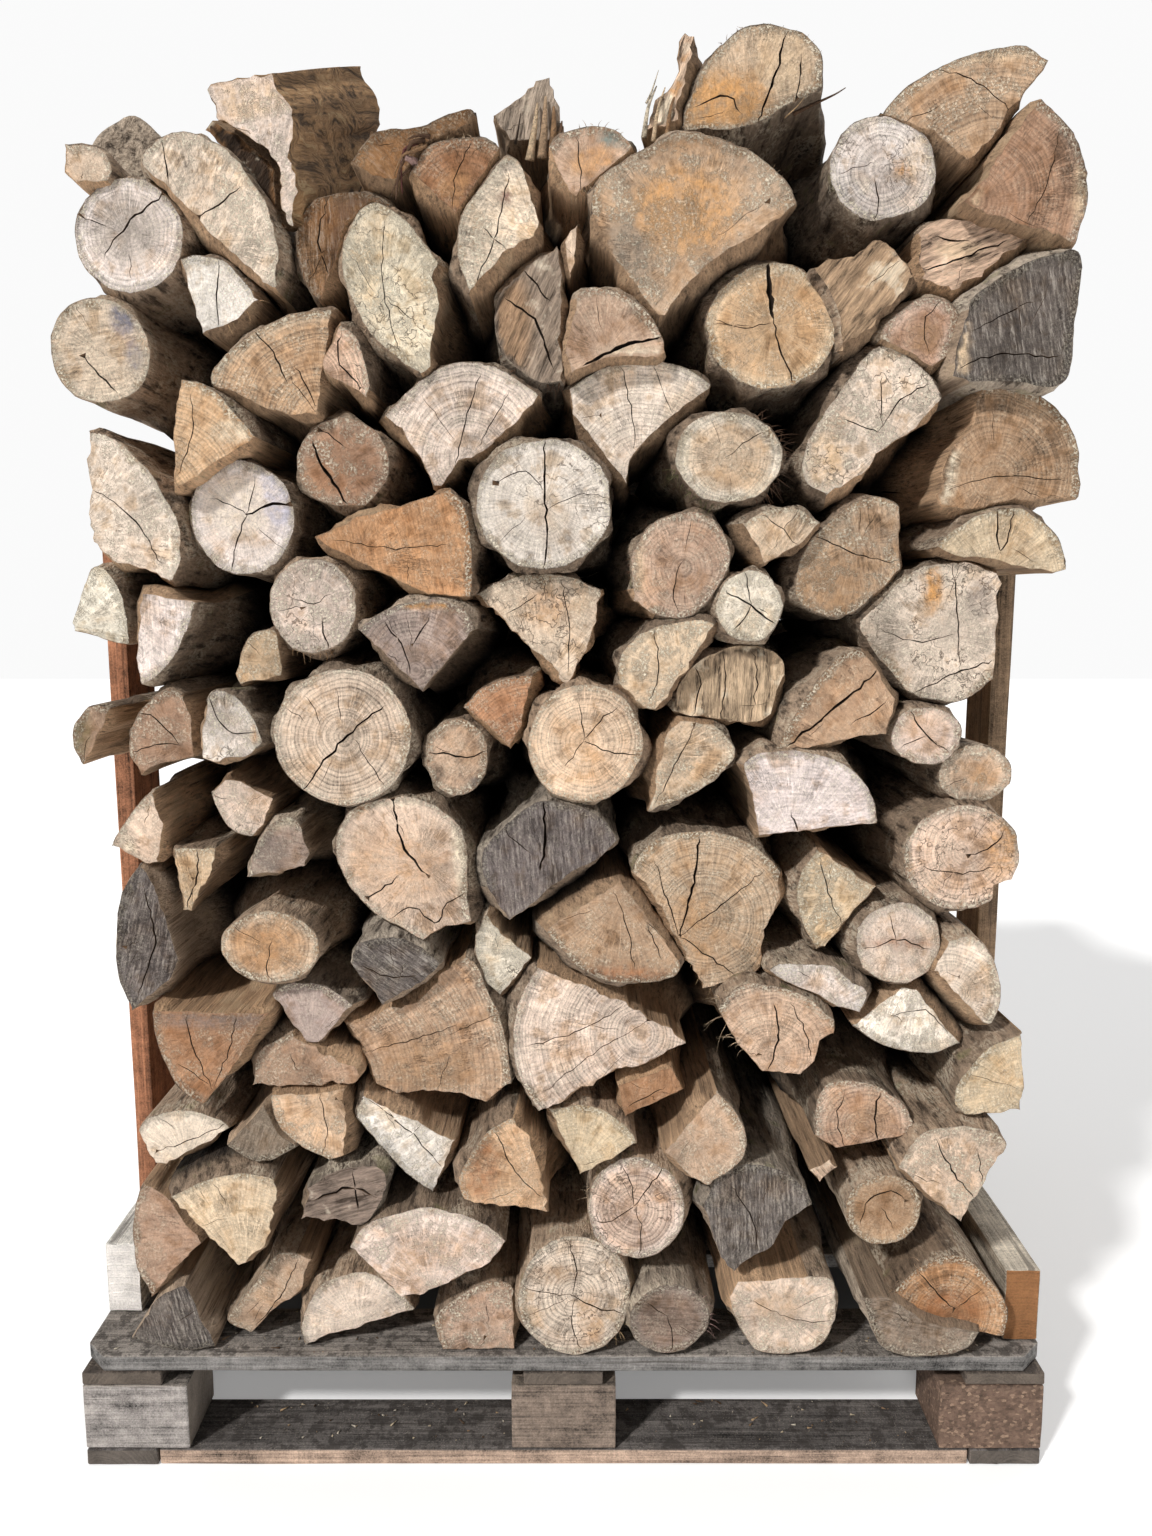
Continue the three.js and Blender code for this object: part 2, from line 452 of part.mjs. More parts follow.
// A log that starts behind the front plane is as much larger as it is further from the eye
function placeOutline(points, depth) {
  const scale = (depth - EYE.y) / -EYE.y;
  return points.map((p) => new THREE.Vector2(EYE.x + (p.x - EYE.x) * scale, EYE.z + (p.y - EYE.z) * scale));
}

// The stack is two rows of logs, end to end. The front row has each log where it is seen from EYE.
// The back row has the same pattern facing the back, without the loose short pieces.
function prepareRow(row) {
  const logs = {};
  Object.entries(LOGS).forEach(([name, log], i) => {
    const outerEnd = Math.round(STAGGER * Math.sin(STAGGER_TURN * i));
    const innerEnd = ROW_LENGTH + Math.round(INNER_STAGGER * Math.sin(INNER_STAGGER_TURN * i));
    const points = drawOutline(log);
    if (row === "front") {
      const front = log.y ?? outerEnd;
      logs[name] = { ...log, front, back: log.back ?? innerEnd, points: placeOutline(points, front) };
    } else if (!log.back) {
      const mirrored = points.map((p) => new THREE.Vector2(-p.x, p.y));
      logs[name] = { ...log, front: DEPTH - innerEnd, back: DEPTH + outerEnd, points: mirrored };
    }
  });
  for (const log of Object.values(logs)) {
    if (THREE.ShapeUtils.isClockWise(log.points)) log.points.reverse();
  }
  return logs;
}

// Keeps the part of the outline where normal . p <= limit
function cutOutline(points, normal, limit) {
  const kept = [];
  points.forEach((a, i) => {
    const b = points[(i + 1) % points.length];
    const da = normal.dot(a) - limit;
    const db = normal.dot(b) - limit;
    if (da <= 0) kept.push(a);
    if ((da < 0 && db > 0) || (da > 0 && db < 0)) kept.push(a.clone().lerp(b, da / (da - db)));
  });
  return kept;
}

function hull(points) {
  const sorted = [...points].sort((a, b) => a.x - b.x || a.y - b.y);
  const half = (list) => {
    const chain = [];
    for (const p of list) {
      while (chain.length > 1) {
        const [a, b] = chain.slice(-2);
        if ((b.x - a.x) * (p.y - a.y) - (b.y - a.y) * (p.x - a.x) > 0) break;
        chain.pop();
      }
      chain.push(p);
    }
    return chain.slice(0, -1);
  };
  return [...half(sorted), ...half(sorted.reverse())];
}

// The line that best parts two outlines, as its normal from a to b and the room left on it
function widestParting(a, b) {
  let best = { room: -Infinity };
  for (const [first, second, sign] of [[a, b, 1], [b, a, -1]]) {
    first.forEach((p, i) => {
      const q = first[(i + 1) % first.length];
      const normal = new THREE.Vector2(q.y - p.y, p.x - q.x).normalize();
      const near = Math.min(...second.map((s) => normal.dot(s)));
      const far = normal.dot(p);
      if (near - far > best.room) {
        const middle = sign * (near + far) / 2;
        best = { room: near - far, normal: normal.clone().multiplyScalar(sign), middle };
      }
    });
  }
  return best;
}

function keepApart(a, b) {
  if (a.front > b.back || b.front > a.back) return;
  const parting = widestParting(hull(a.points), hull(b.points));
  if (parting.room >= LOG_CLEARANCE) return;
  const { normal, middle } = parting;
  a.points = cutOutline(a.points, normal, middle - LOG_CLEARANCE / 2);
  b.points = cutOutline(b.points, normal.clone().negate(), -middle - LOG_CLEARANCE / 2);
}

function nearestOnOutline(p, outline) {
  let best = { distance: Infinity };
  outline.forEach((a, i) => {
    const b = outline[(i + 1) % outline.length];
    const along = b.clone().sub(a);
    const t = THREE.MathUtils.clamp(p.clone().sub(a).dot(along) / along.lengthSq(), 0, 1);
    const point = a.clone().addScaledVector(along, t);
    const distance = p.distanceTo(point);
    if (distance < best.distance) best = { distance, point };
  });
  return best;
}

function isInside(p, outline) {
  let inside = false;
  outline.forEach((a, i) => {
    const b = outline[(i + 1) % outline.length];
    if ((a.y > p.y) === (b.y > p.y)) return;
    if (p.x < (b.x - a.x) * (p.y - a.y) / (b.y - a.y) + a.x) inside = !inside;
  });
  return inside;
}

// The corner of either outline that is nearest the other, or deepest in it
function nearestCorner(a, b) {
  let best = { distance: Infinity };
  for (const [own, other] of [[a.points, b.points], [b.points, a.points]]) {
    own.forEach((corner, index) => {
      const { distance, point } = nearestOnOutline(corner, other);
      const signed = isInside(corner, other) ? -distance : distance;
      if (signed < best.distance) best = { distance: signed, own, index, corner, point };
    });
  }
  return best;
}

// Two logs of one bunch touch: the nearest corner is drawn out until it meets its neighbour
function makeTouch(a, b) {
  const { distance, own, index, corner, point } = nearestCorner(a, b);
  if (distance < -CONTACT_LAP) return;
  const reach = point.clone().sub(corner).multiplyScalar(Math.sign(distance)).setLength(CONTACT_LAP);
  own[index] = point.clone().add(reach);
}

// Joins the logs of a bunch one by one, each to the nearest log that is already joined
function joinBunch(logs) {
  const joined = [logs[0]];
  const waiting = logs.slice(1);
  while (waiting.length) {
    let best = { distance: Infinity };
    for (const log of waiting) {
      for (const other of joined) {
        const { distance } = nearestCorner(log, other);
        if (distance < best.distance) best = { distance, log, other };
      }
    }
    makeTouch(best.log, best.other);
    joined.push(best.log);
    waiting.splice(waiting.indexOf(best.log), 1);
  }
}

// Logs stay above the deck and between the sills and posts
function keepInStack(log) {
  const down = new THREE.Vector2(0, -1);
  log.points = cutOutline(log.points, down, -(DECK_TOP + DECK_CLEARANCE));
  const lowest = Math.min(...log.points.map((p) => p.y));
  const side = lowest < SILL_TOP + GAP ? WIDTH / 2 - SILL_WIDTH : WIDTH / 2 - POST_WIDTH;
  if (lowest > POST_TOP) return;
  for (const sign of [-1, 1]) {
    log.points = cutOutline(log.points, new THREE.Vector2(sign, 0), side - LOG_CLEARANCE);
  }
}

function extrudeLog({ points, front, back, lean = [0, 0] }) {
  const length = back - front;
  const geometry = new THREE.ExtrudeGeometry(new THREE.Shape(points), { depth: length, bevelEnabled: false });
  geometry.rotateX(Math.PI / 2);
  geometry.translate(0, back, 0);
  const position = geometry.getAttribute("position");
  for (let i = 0; i < position.count; i += 1) {
    const along = (position.getY(i) - front) / length;
    position.setX(i, position.getX(i) + lean[0] * along);
    position.setZ(i, position.getZ(i) + lean[1] * along);
  }
  return geometry;
}

function toSolid(geometry) {
  geometry.deleteAttribute("normal");
  geometry.deleteAttribute("uv");
  const merged = mergeVertices(geometry, MERGE_DISTANCE);
  return new wasm.Manifold(new wasm.Mesh({
    numProp: 3,
    vertProperties: merged.getAttribute("position").array,
    triVerts: new Uint32Array(merged.getIndex().array),
  }));
}

function toGeometry(solid) {
  const mesh = solid.getMesh();
  const geometry = new THREE.BufferGeometry();
  geometry.setAttribute("position", new THREE.BufferAttribute(mesh.vertProperties, 3));
  geometry.setIndex(new THREE.BufferAttribute(mesh.triVerts, 1));
  return geometry;
}

function addRow(row) {
  const logs = prepareRow(row);
  const bunches = Object.entries(BUNCHES)
    .map(([name, members]) => [name, members.map((key) => logs[key]).filter(Boolean)])
    .filter(([, members]) => members.length);
  bunches.forEach(([, members]) => joinBunch(members));
  bunches.forEach(([, members], i) => {
    for (const [, others] of bunches.slice(i + 1)) {
      members.forEach((a) => others.forEach((b) => keepApart(a, b)));
    }
  });
  Object.values(logs).forEach(keepInStack);
  for (const [name, members] of bunches) {
    const solid = members.map((log) => toSolid(extrudeLog(log))).reduce((a, b) => a.add(b));
    if (solid.decompose().length > 1) throw new Error(`${name} of the ${row} row is in pieces`);
    addMesh(`${row}_${name}`, toGeometry(solid), COLOURS[members[0].tone]);
  }
}

addBase();
addBlocks();
addStringers();
addDeck();
addSidesOfStack();
addRow("front");
addRow("back");

export default pallet;
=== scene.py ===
"""The looks of a pallet of firewood: logs with bark, split faces and sawn ends, on weathered boards."""

import math
from types import SimpleNamespace

import bpy
import numpy as np
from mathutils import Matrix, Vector, geometry


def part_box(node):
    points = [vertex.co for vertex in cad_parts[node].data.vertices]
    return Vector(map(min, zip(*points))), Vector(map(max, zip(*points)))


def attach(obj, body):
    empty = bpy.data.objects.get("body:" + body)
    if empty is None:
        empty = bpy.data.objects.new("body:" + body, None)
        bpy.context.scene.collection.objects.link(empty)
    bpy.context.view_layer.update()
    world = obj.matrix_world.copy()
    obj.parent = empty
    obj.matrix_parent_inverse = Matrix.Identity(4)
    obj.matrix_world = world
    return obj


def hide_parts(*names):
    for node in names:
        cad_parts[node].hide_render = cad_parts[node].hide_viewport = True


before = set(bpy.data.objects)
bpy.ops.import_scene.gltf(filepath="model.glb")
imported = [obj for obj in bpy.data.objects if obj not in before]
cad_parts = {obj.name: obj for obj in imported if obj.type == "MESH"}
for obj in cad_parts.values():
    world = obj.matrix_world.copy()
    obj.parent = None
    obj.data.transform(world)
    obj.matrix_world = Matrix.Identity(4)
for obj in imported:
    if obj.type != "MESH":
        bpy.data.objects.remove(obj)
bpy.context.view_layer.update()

MM = 0.001

# Places are in millimetres from the floor under the middle of the pallet's front edge, until make_object
# moves them to the frame of the solids.
DEPTH = 1000
HALF_DEPTH = DEPTH / 2
EYE = (15.5, -1312.0, 1079.0)
CAMERA_PITCH = 8.3
CAMERA_LENS = 27.05
SENSOR = 36.0

# The two rows of logs: their length, and how far their outer and inner ends stand forward or back
ROW_LENGTH = 492
STAGGER = 13
INNER_STAGGER = 4
STAGGER_TURN = 2.3
INNER_STAGGER_TURN = 1.7

# The light of the surround, its look behind the stack, and the floor's glow
AMBIENT = 0.42
BACKDROP = 0.96
FLOOR_GLOW = 0.22

# Fineness of the meshes: points along a rim, in the sawn faces, and the rings of points behind them
RIM_STEP = 6.5
FACE_STEP = 6.0
BACK_FACE_STEP = 7.5
HIDDEN_FACE_STEP = 26.0
COARSE_STEP = 25.0
CRACK_STEP = 7.0
STRAND_STEP = 5.0
RING_DEPTHS = (0.0, 0.004, 0.012, 0.028, 0.055, 0.1, 0.16, 0.235, 0.33, 0.44, 0.56, 0.69, 0.82, 0.93, 1.0)

# The logs. Outlines are as seen from EYE on the plane of the front edge: X and Z in millimetres.
# A split log is its split corners and the curve of its bark. A round log is its centre and two radii.
# Some have their own depths for the outer end, y, and the inner end, back, and a lean over their length.


def split(tone, corners, bark, y=None, back=None, lean=(0, 0)):
    return {"tone": tone, "corners": corners, "bark": bark, "y": y, "back": back, "lean": lean}


def rounded(tone, x, z, radius_x, radius_z, y=None, back=None):
    shape = {"centre": (x, z), "radii": (radius_x, radius_z)}
    return {"tone": tone, **shape, "y": y, "back": back, "lean": (0, 0)}


LOGS = {
    "a1": split("char", [(-540, 172), (-500, 230), (-462, 252), (-430, 160)], [(-485, 156)], y=8),
    "a2": split("brown", [(-512, 380), (-480, 357), (-440, 301), (-505, 232)],
        [(-524, 270), (-527, 330)]),
    "a3": split("sand", [(-347, 388), (-345, 365), (-362, 292), (-399, 264), (-481, 359)],
        [(-452, 377), (-417, 393), (-380, 396)]),
    "a4": split("clay", [(-387, 175), (-357, 209), (-320, 240), (-304, 284), (-325, 295)],
        [(-352, 288), (-400, 223), (-420, 193)], y=30),
    "a5": split("cream", [(-181, 209), (-319, 167)], [(-325, 200), (-297, 251), (-243, 263), (-203, 236)],
        y=24),
    "a6": split("grey", [(-252, 322), (-277, 331), (-319, 334), (-312, 374)],
        [(-270, 398), (-225, 400), (-212, 375), (-237, 328)]),
    "a7": split("cream", [(-396, 449), (-479, 400), (-494, 403), (-513, 446)],
        [(-501, 464), (-451, 477), (-410, 463)]),
    "a8": split("grey", [(-408, 429), (-360, 479), (-343, 443), (-320, 426)], [(-366, 406)]),
    "a9": split("tan", [(-353, 492), (-260, 500), (-257, 443), (-262, 416), (-282, 413)],
        [(-326, 431), (-350, 462)]),
    "a10": split("snow", [(-239, 497), (-210, 479), (-128, 434), (-158, 363)],
        [(-193, 390), (-229, 437), (-252, 470)]),

    "b1": split("honey", [(-60, 468), (-38, 440), (-23, 389), (-14, 334), (-79, 344), (-120, 356)],
        [(-129, 385), (-112, 425), (-90, 452)]),
    "b2": split("sand", [(93, 431), (19, 386), (-20, 474)], [(30, 482), (75, 460)]),
    "b3": rounded("pink", 88, 346, 62, 66),
    "b4": rounded("pink", 14, 231, 72, 78, y=4),
    "b5": rounded("grey", 131, 199, 52, 48, y=-4),
    "b6": split("clay", [(-60, 240), (-60, 160), (-150, 160)], [(-158, 205), (-120, 240), (-75, 250)],
        y=13),
    "b7": split("cream", [(-67, 303), (-88, 273), (-124, 256), (-170, 231), (-200, 226), (-260, 296)],
        [(-243, 326), (-195, 345), (-153, 348), (-110, 336)]),
    "b8": split("rust", [(62, 508), (130, 529), (147, 497), (73, 461)], []),
    "b9": split("clay", [(176, 373), (144, 394), (121, 420), (184, 499)],
        [(208, 474), (222, 440), (217, 408)]),

    "c1": split("slate", [(305, 350), (274, 326), (258, 300), (209, 264), (190, 282), (168, 345)],
        [(184, 386), (223, 404), (258, 400), (290, 377)]),
    "c2": split("pink", [(206, 208), (203, 228), (214, 250), (300, 261)],
        [(328, 256), (338, 225), (334, 188), (318, 162), (285, 151), (240, 153), (220, 178)], y=-2),
    "c3": split("grey", [(518, 181), (440, 203), (402, 232), (366, 232)],
        [(376, 192), (394, 160), (430, 150), (478, 150), (508, 160)], y=-12),
    "c4": split("orange", [(547, 173), (454, 191), (437, 201), (401, 230)],
        [(437, 274), (483, 288), (523, 257), (549, 215)]),
    "c5": rounded("brown", 389, 345, 50, 47),
    "c6": split("sand", [(538, 430), (511, 376), (486, 327), (466, 340), (400, 398)],
        [(428, 443), (483, 456), (520, 448)]),
    "c7": split("tan", [(303, 437), (330, 419), (380, 431), (424, 444)],
        [(420, 468), (392, 497), (350, 514), (316, 510), (301, 478)]),
    "c8": split("clay", [(298, 396), (311, 380), (334, 400), (322, 412)], []),
    "c9": split("sand", [(482, 465), (551, 470), (555, 500), (548, 575)],
        [(505, 552), (470, 512), (466, 482)]),

    "d1": split("slate", [(-494, 773), (-484, 765), (-462, 704), (-449, 659), (-457, 635), (-508, 598)],
        [(-524, 640), (-527, 690), (-516, 740)]),
    "d2": split("rust", [(-490, 597), (-345, 597), (-400, 516), (-432, 477)], [(-463, 500), (-487, 555)]),
    "d3": split("tan", [(-399, 797), (-401, 780), (-433, 716), (-447, 717), (-453, 794)], [(-425, 799)]),
    "d4": split("dove", [(-300, 823), (-296, 801), (-291, 787), (-300, 770), (-331, 761), (-370, 757)],
        [(-357, 801), (-340, 824), (-318, 836)]),
    "d5": rounded("tan", -344, 675, 62, 46),
    "d6": split("dove", [(-243, 605), (-291, 558), (-306, 557), (-334, 593), (-348, 615)],
        [(-330, 631), (-283, 630)]),
    "d7": split("brown",
        [(-322, 573), (-306, 558), (-283, 546), (-246, 533), (-237, 520), (-243, 508), (-300, 501),
         (-374, 501)], [(-366, 545)]),
    "d8": split("slate", [(-141, 654), (-165, 628), (-214, 601), (-253, 655)],
        [(-244, 679), (-212, 690), (-181, 686), (-157, 672)]),
    "d9": split("clay",
        [(-59, 507), (-92, 479), (-136, 494), (-200, 488), (-227, 502), (-243, 547), (-266, 581),
         (-181, 608), (-144, 647), (-114, 664)], [(-96, 652), (-67, 570)]),

    "e1": split("sand", [(-104, 703), (-136, 696), (-164, 681)],
        [(-214, 710), (-243, 739), (-262, 775), (-263, 811), (-245, 843), (-200, 856), (-153, 849),
         (-122, 826), (-110, 790), (-109, 740)]),
    "e2": split("slate", [(66, 803), (47, 783), (1, 756), (-24, 731), (-63, 704), (-90, 745)],
        [(-97, 775), (-85, 805), (-39, 844), (-10, 850), (41, 834)]),
    "e3": split("white", [(-88, 719), (-79, 704), (-36, 662), (-60, 626), (-74, 614)],
        [(-92, 630), (-104, 660), (-104, 695)]),
    "e4": split("brown", [(-24, 696), (68, 757), (141, 659)], [(136, 638), (79, 628), (19, 647)]),
    "e5": split("pink",
        [(-32, 655), (76, 608), (132, 573), (149, 553), (112, 530), (64, 521), (-28, 470)],
        [(-52, 510), (-61, 560), (-55, 610)]),
    "e6": split("tan",
        [(259, 765), (257, 730), (237, 687), (234, 650), (223, 630), (180, 623), (163, 623), (141, 667),
         (119, 710), (93, 750), (76, 767)], [(93, 797), (113, 811), (161, 817), (203, 808), (237, 788)]),

    "f1": split("tan",
        [(326, 585), (325, 566), (308, 557), (304, 530), (286, 512), (238, 518), (196, 572), (182, 600)],
        [(200, 625), (232, 634), (286, 618)]),
    "f2": split("sand", [(294, 797), (366, 750), (311, 672), (298, 668)], [(276, 708), (273, 755)]),
    "f3": rounded("pink", 394, 679, 52, 51),
    "f4": split("snow", [(361, 599), (354, 590), (326, 599), (266, 630), (241, 647)],
        [(249, 657), (314, 657), (340, 637), (364, 619)]),
    "f5": split("snow", [(340, 581), (363, 599), (400, 627), (420, 624), (475, 556)],
        [(440, 543), (380, 551)]),
    "f6": split("pink", [(509, 576), (497, 581), (451, 627), (434, 645), (452, 683)],
        [(483, 690), (512, 655), (521, 615)]),
    "f7": split("sand", [(533, 776), (523, 756), (503, 749), (503, 734)],
        [(494, 726), (471, 719), (437, 721), (409, 742), (393, 779), (402, 815), (429, 839), (465, 847),
         (500, 837), (529, 809)]),

    "g1": split("snow", [(-533, 1116), (-556, 1053), (-550, 1043), (-488, 1025)],
        [(-488, 1060), (-503, 1103), (-520, 1120)]),
    "g2": split("white",
        [(-411, 1077), (-451, 1084), (-472, 1087), (-482, 1034), (-487, 1008), (-480, 980)],
        [(-460, 991), (-440, 1011), (-423, 1043)]),
    "g3": split("tan", [(-323, 1046), (-317, 1003), (-319, 993), (-366, 981), (-374, 996), (-363, 1031)],
        [(-345, 1045)]),
    "g4": rounded("pink", -281, 1072, 53, 55),
    "g5": split("dove", [(-98, 1045), (-159, 973), (-200, 1013), (-234, 1045)],
        [(-226, 1056), (-190, 1073), (-147, 1082), (-108, 1070)]),
    "g6": split("brown", [(-513, 958), (-523, 934), (-540, 900), (-549, 891)],
        [(-560, 912), (-559, 940), (-537, 961)]),
    "g7": split("brown", [(-429, 975), (-419, 943), (-423, 900), (-463, 890), (-486, 878), (-499, 897)],
        [(-499, 925), (-477, 963), (-448, 981)]),
    "g8": split("snow", [(-349, 907), (-363, 899), (-400, 894), (-415, 897), (-414, 937), (-410, 963)],
        [(-396, 981), (-371, 974), (-350, 943), (-339, 917)]),
    "g9": split("pink",
        [(-356, 806), (-343, 820), (-331, 853), (-354, 864), (-371, 873), (-389, 873), (-409, 861)],
        [(-400, 832), (-378, 811)]),
    "g10": rounded("pink", -251, 924, 81, 81),
    "g11": split("sand",
        [(-466, 866), (-464, 849), (-461, 817), (-467, 797), (-469, 774), (-482, 770), (-529, 793)],
        [(-522, 808), (-500, 836), (-486, 852)]),

    "h1": split("sand",
        [(-99, 1084), (-81, 1066), (-27, 1020), (6, 983), (19, 1003), (33, 1020), (44, 1074), (47, 1091)],
        [(24, 1103), (1, 1109), (-27, 1110), (-60, 1105)]),
    "h2": rounded("straw", 26, 916, 68, 71),
    "h3": rounded("clay", -121, 901, 38, 46),
    "h4": split("orange", [(-31, 997), (-44, 937), (-59, 907), (-84, 931), (-115, 957)],
        [(-96, 977), (-60, 993)]),
    "h5": split("sand", [(173, 1053), (159, 1023), (121, 969), (107, 954), (93, 956), (64, 983)],
        [(59, 1006), (73, 1030), (101, 1051), (145, 1059)]),
    "h6": split("clay",
        [(256, 994), (249, 983), (240, 949), (230, 940), (209, 936), (147, 946), (123, 953)],
        [(133, 989), (165, 1020), (208, 1031), (249, 1018)]),
    "h7": split("sand", [(97, 834), (106, 886), (119, 931), (133, 946), (173, 939)],
        [(194, 922), (201, 900), (179, 874), (141, 849)]),

    "i1": rounded("white", 211, 1072, 39, 42),
    "i2": split("pink",
        [(437, 1123), (463, 1120), (489, 1109), (496, 1097), (491, 1083), (495, 1060), (494, 1023),
         (491, 989)],
        [(466, 968), (430, 962), (391, 974), (351, 1020), (333, 1050), (350, 1072), (391, 1112)]),
    "i3": split("brown",
        [(340, 1023), (366, 991), (383, 969), (371, 926), (334, 920), (294, 911), (243, 909)],
        [(256, 935), (286, 985), (312, 1018)]),
    "i4": rounded("pink", 415, 925, 42, 37),
    "i5": rounded("sand", 474, 880, 46, 37),
    "i6": split("white", [(367, 821), (306, 816), (227, 806), (217, 857), (206, 891)],
        [(222, 906), (271, 910), (323, 894), (357, 860)]),

    "j1": rounded("pink", -503, 1347, 56, 58),
    "j2": split("cream", [(-524, 1266), (-527, 1213), (-530, 1141), (-506, 1121), (-440, 1097)],
        [(-423, 1124), (-426, 1165), (-445, 1207), (-472, 1240), (-495, 1260)]),
    "j3": split("honey",
        [(-333, 1256), (-371, 1231), (-417, 1201), (-430, 1200), (-429, 1259), (-420, 1320)],
        [(-400, 1318), (-377, 1303), (-352, 1278)]),
    "j4": rounded("white", -355, 1169, 60, 64),
    "j5": split("tan",
        [(-249, 1394), (-256, 1344), (-266, 1276), (-300, 1279), (-331, 1287), (-357, 1303),
         (-383, 1309)], [(-384, 1328), (-343, 1367), (-300, 1389)]),
    "j6": split("straw", [(-209, 1307), (-214, 1296), (-260, 1321), (-264, 1339), (-241, 1377)],
        [(-222, 1364), (-211, 1335)]),
    "j7": rounded("brown", -242, 1228, 53, 50),
    "j8": split("orange",
        [(-102, 1080), (-151, 1083), (-193, 1102), (-263, 1136), (-277, 1149), (-229, 1171), (-180, 1183),
         (-125, 1202)], [(-106, 1182), (-99, 1130)]),

    "k1": split("cream",
        [(-131, 1440), (-138, 1425), (-129, 1404), (-140, 1350), (-141, 1330), (-153, 1320)],
        [(-181, 1336), (-215, 1370), (-239, 1435), (-226, 1483), (-200, 1504), (-165, 1486)]),
    "k2": split("cream",
        [(-21, 1300), (-50, 1270), (-87, 1239), (-113, 1229), (-133, 1201), (-145, 1202), (-161, 1233),
         (-179, 1264), (-197, 1279)], [(-173, 1304), (-141, 1330), (-101, 1339), (-61, 1327)]),
    "k3": rounded("white", -21, 1184, 78, 74),
    "k4": split("grey",
        [(-70, 1412), (-50, 1429), (-24, 1451), (-4, 1459), (4, 1425), (1, 1359), (2, 1314)],
        [(-30, 1312), (-62, 1337), (-77, 1375)]),
    "k5": split("sand", [(-1, 1461), (7, 1474), (19, 1480), (19, 1452), (9, 1420)], [], back=420),
    "k6": split("clay",
        [(109, 1370), (114, 1345), (104, 1340), (53, 1339), (10, 1321), (3, 1345), (13, 1404)],
        [(30, 1418), (60, 1413), (90, 1394)]),
    "k7": split("white",
        [(167, 1310), (139, 1290), (101, 1259), (77, 1230), (72, 1204), (47, 1233), (10, 1281),
         (6, 1309)], [(47, 1333), (95, 1340), (141, 1329)]),
    "k8": rounded("cream", 183, 1235, 62, 52),
    "k9": split("clay", [(77, 1091), (79, 1077), (104, 1060)],
        [(144, 1059), (176, 1089), (190, 1125), (172, 1166), (139, 1178), (100, 1165), (77, 1125)]),

    "l1": rounded("tan", 229, 1373, 73, 70),
    "l2": split("brown",
        [(269, 1434), (306, 1450), (331, 1461), (351, 1463), (374, 1440), (385, 1424), (369, 1404),
         (340, 1370), (303, 1345)], [(300, 1390)]),
    "l3": split("clay", [(423, 1341), (406, 1327), (380, 1344), (345, 1357)],
        [(349, 1376), (380, 1401), (410, 1406), (436, 1388), (430, 1362)]),
    "l4": split("cream", [(420, 1299), (391, 1264), (349, 1236), (343, 1221), (294, 1189)],
        [(270, 1205), (266, 1245), (303, 1304), (340, 1351), (374, 1350), (406, 1322)]),
    "l5": split("char", [(446, 1313), (424, 1318), (428, 1350), (440, 1392)],
        [(460, 1418), (505, 1444), (556, 1455), (565, 1440), (560, 1370), (556, 1321), (530, 1306),
         (490, 1312)]),
    "l6": split("brown",
        [(574, 1187), (503, 1184), (449, 1174), (417, 1179), (411, 1193), (426, 1247), (449, 1275),
         (461, 1313)], [(500, 1312), (543, 1290), (569, 1253), (579, 1207)]),
    "l7": split("sand", [(567, 1112), (551, 1107), (491, 1120), (443, 1123), (412, 1135)],
        [(440, 1163), (483, 1180), (520, 1178), (556, 1148)]),
    "l8": split("sand", [(293, 1164), (271, 1141), (224, 1116), (199, 1163)], [(226, 1180), (260, 1184)]),
    "l9": split("clay", [(379, 1184), (381, 1139), (383, 1110), (351, 1082)],
        [(329, 1064), (298, 1060), (262, 1080), (270, 1136), (309, 1176), (349, 1195)]),

    "m1": split("sand", [(-530, 1560), (-531, 1530), (-520, 1518), (-484, 1519)],
        [(-476, 1532), (-484, 1553), (-504, 1563)], y=4, back=108),
    "m2": split("grey", [(-421, 1566), (-424, 1515)],
        [(-460, 1500), (-497, 1512), (-502, 1555), (-471, 1583), (-447, 1586)], y=100, back=470),
    "m3": rounded("white", -466, 1468, 62, 61),
    "m4": split("cream", [(-443, 1530), (-423, 1514), (-383, 1471), (-326, 1417), (-309, 1412)],
        [(-304, 1449), (-314, 1497), (-340, 1540), (-380, 1570), (-420, 1570), (-449, 1545)]),
    "m5": split("snow",
        [(-334, 1412), (-327, 1401), (-357, 1376), (-391, 1364), (-403, 1407), (-413, 1443)],
        [(-395, 1448), (-360, 1440)]),
    "m6": split("cream",
        [(-374, 1597), (-376, 1614), (-369, 1626), (-326, 1630), (-306, 1634), (-290, 1606), (-283, 1589),
         (-286, 1546), (-281, 1523), (-284, 1471), (-294, 1474), (-303, 1490), (-303, 1534), (-314, 1551),
         (-343, 1571), (-371, 1583)], [], y=0, back=185, lean=(64, 84)),
    "m7": split("umber",
        [(-90, 1590), (-100, 1577), (-123, 1565), (-140, 1557), (-165, 1531), (-179, 1520), (-202, 1526),
         (-225, 1539)], [(-202, 1568), (-181, 1576), (-155, 1577), (-126, 1588), (-96, 1598)], y=0,
        back=330),
    "m8": split("umber", [(-181, 1494), (-203, 1499), (-230, 1480), (-243, 1437), (-262, 1396)],
        [(-282, 1420), (-288, 1455), (-276, 1496), (-256, 1508), (-234, 1513), (-213, 1514),
         (-193, 1508)]),

    "n1": split("rust", [(-64, 1557), (-84, 1529), (-113, 1486), (-164, 1529)],
        [(-147, 1557), (-110, 1568), (-85, 1566)]),
    "n2": split("cream",
        [(-43, 1543), (-30, 1511), (-21, 1480), (-27, 1463), (-61, 1446), (-84, 1420), (-100, 1403)],
        [(-114, 1445), (-111, 1483), (-85, 1524), (-58, 1552)]),
    "n3": split("dove",
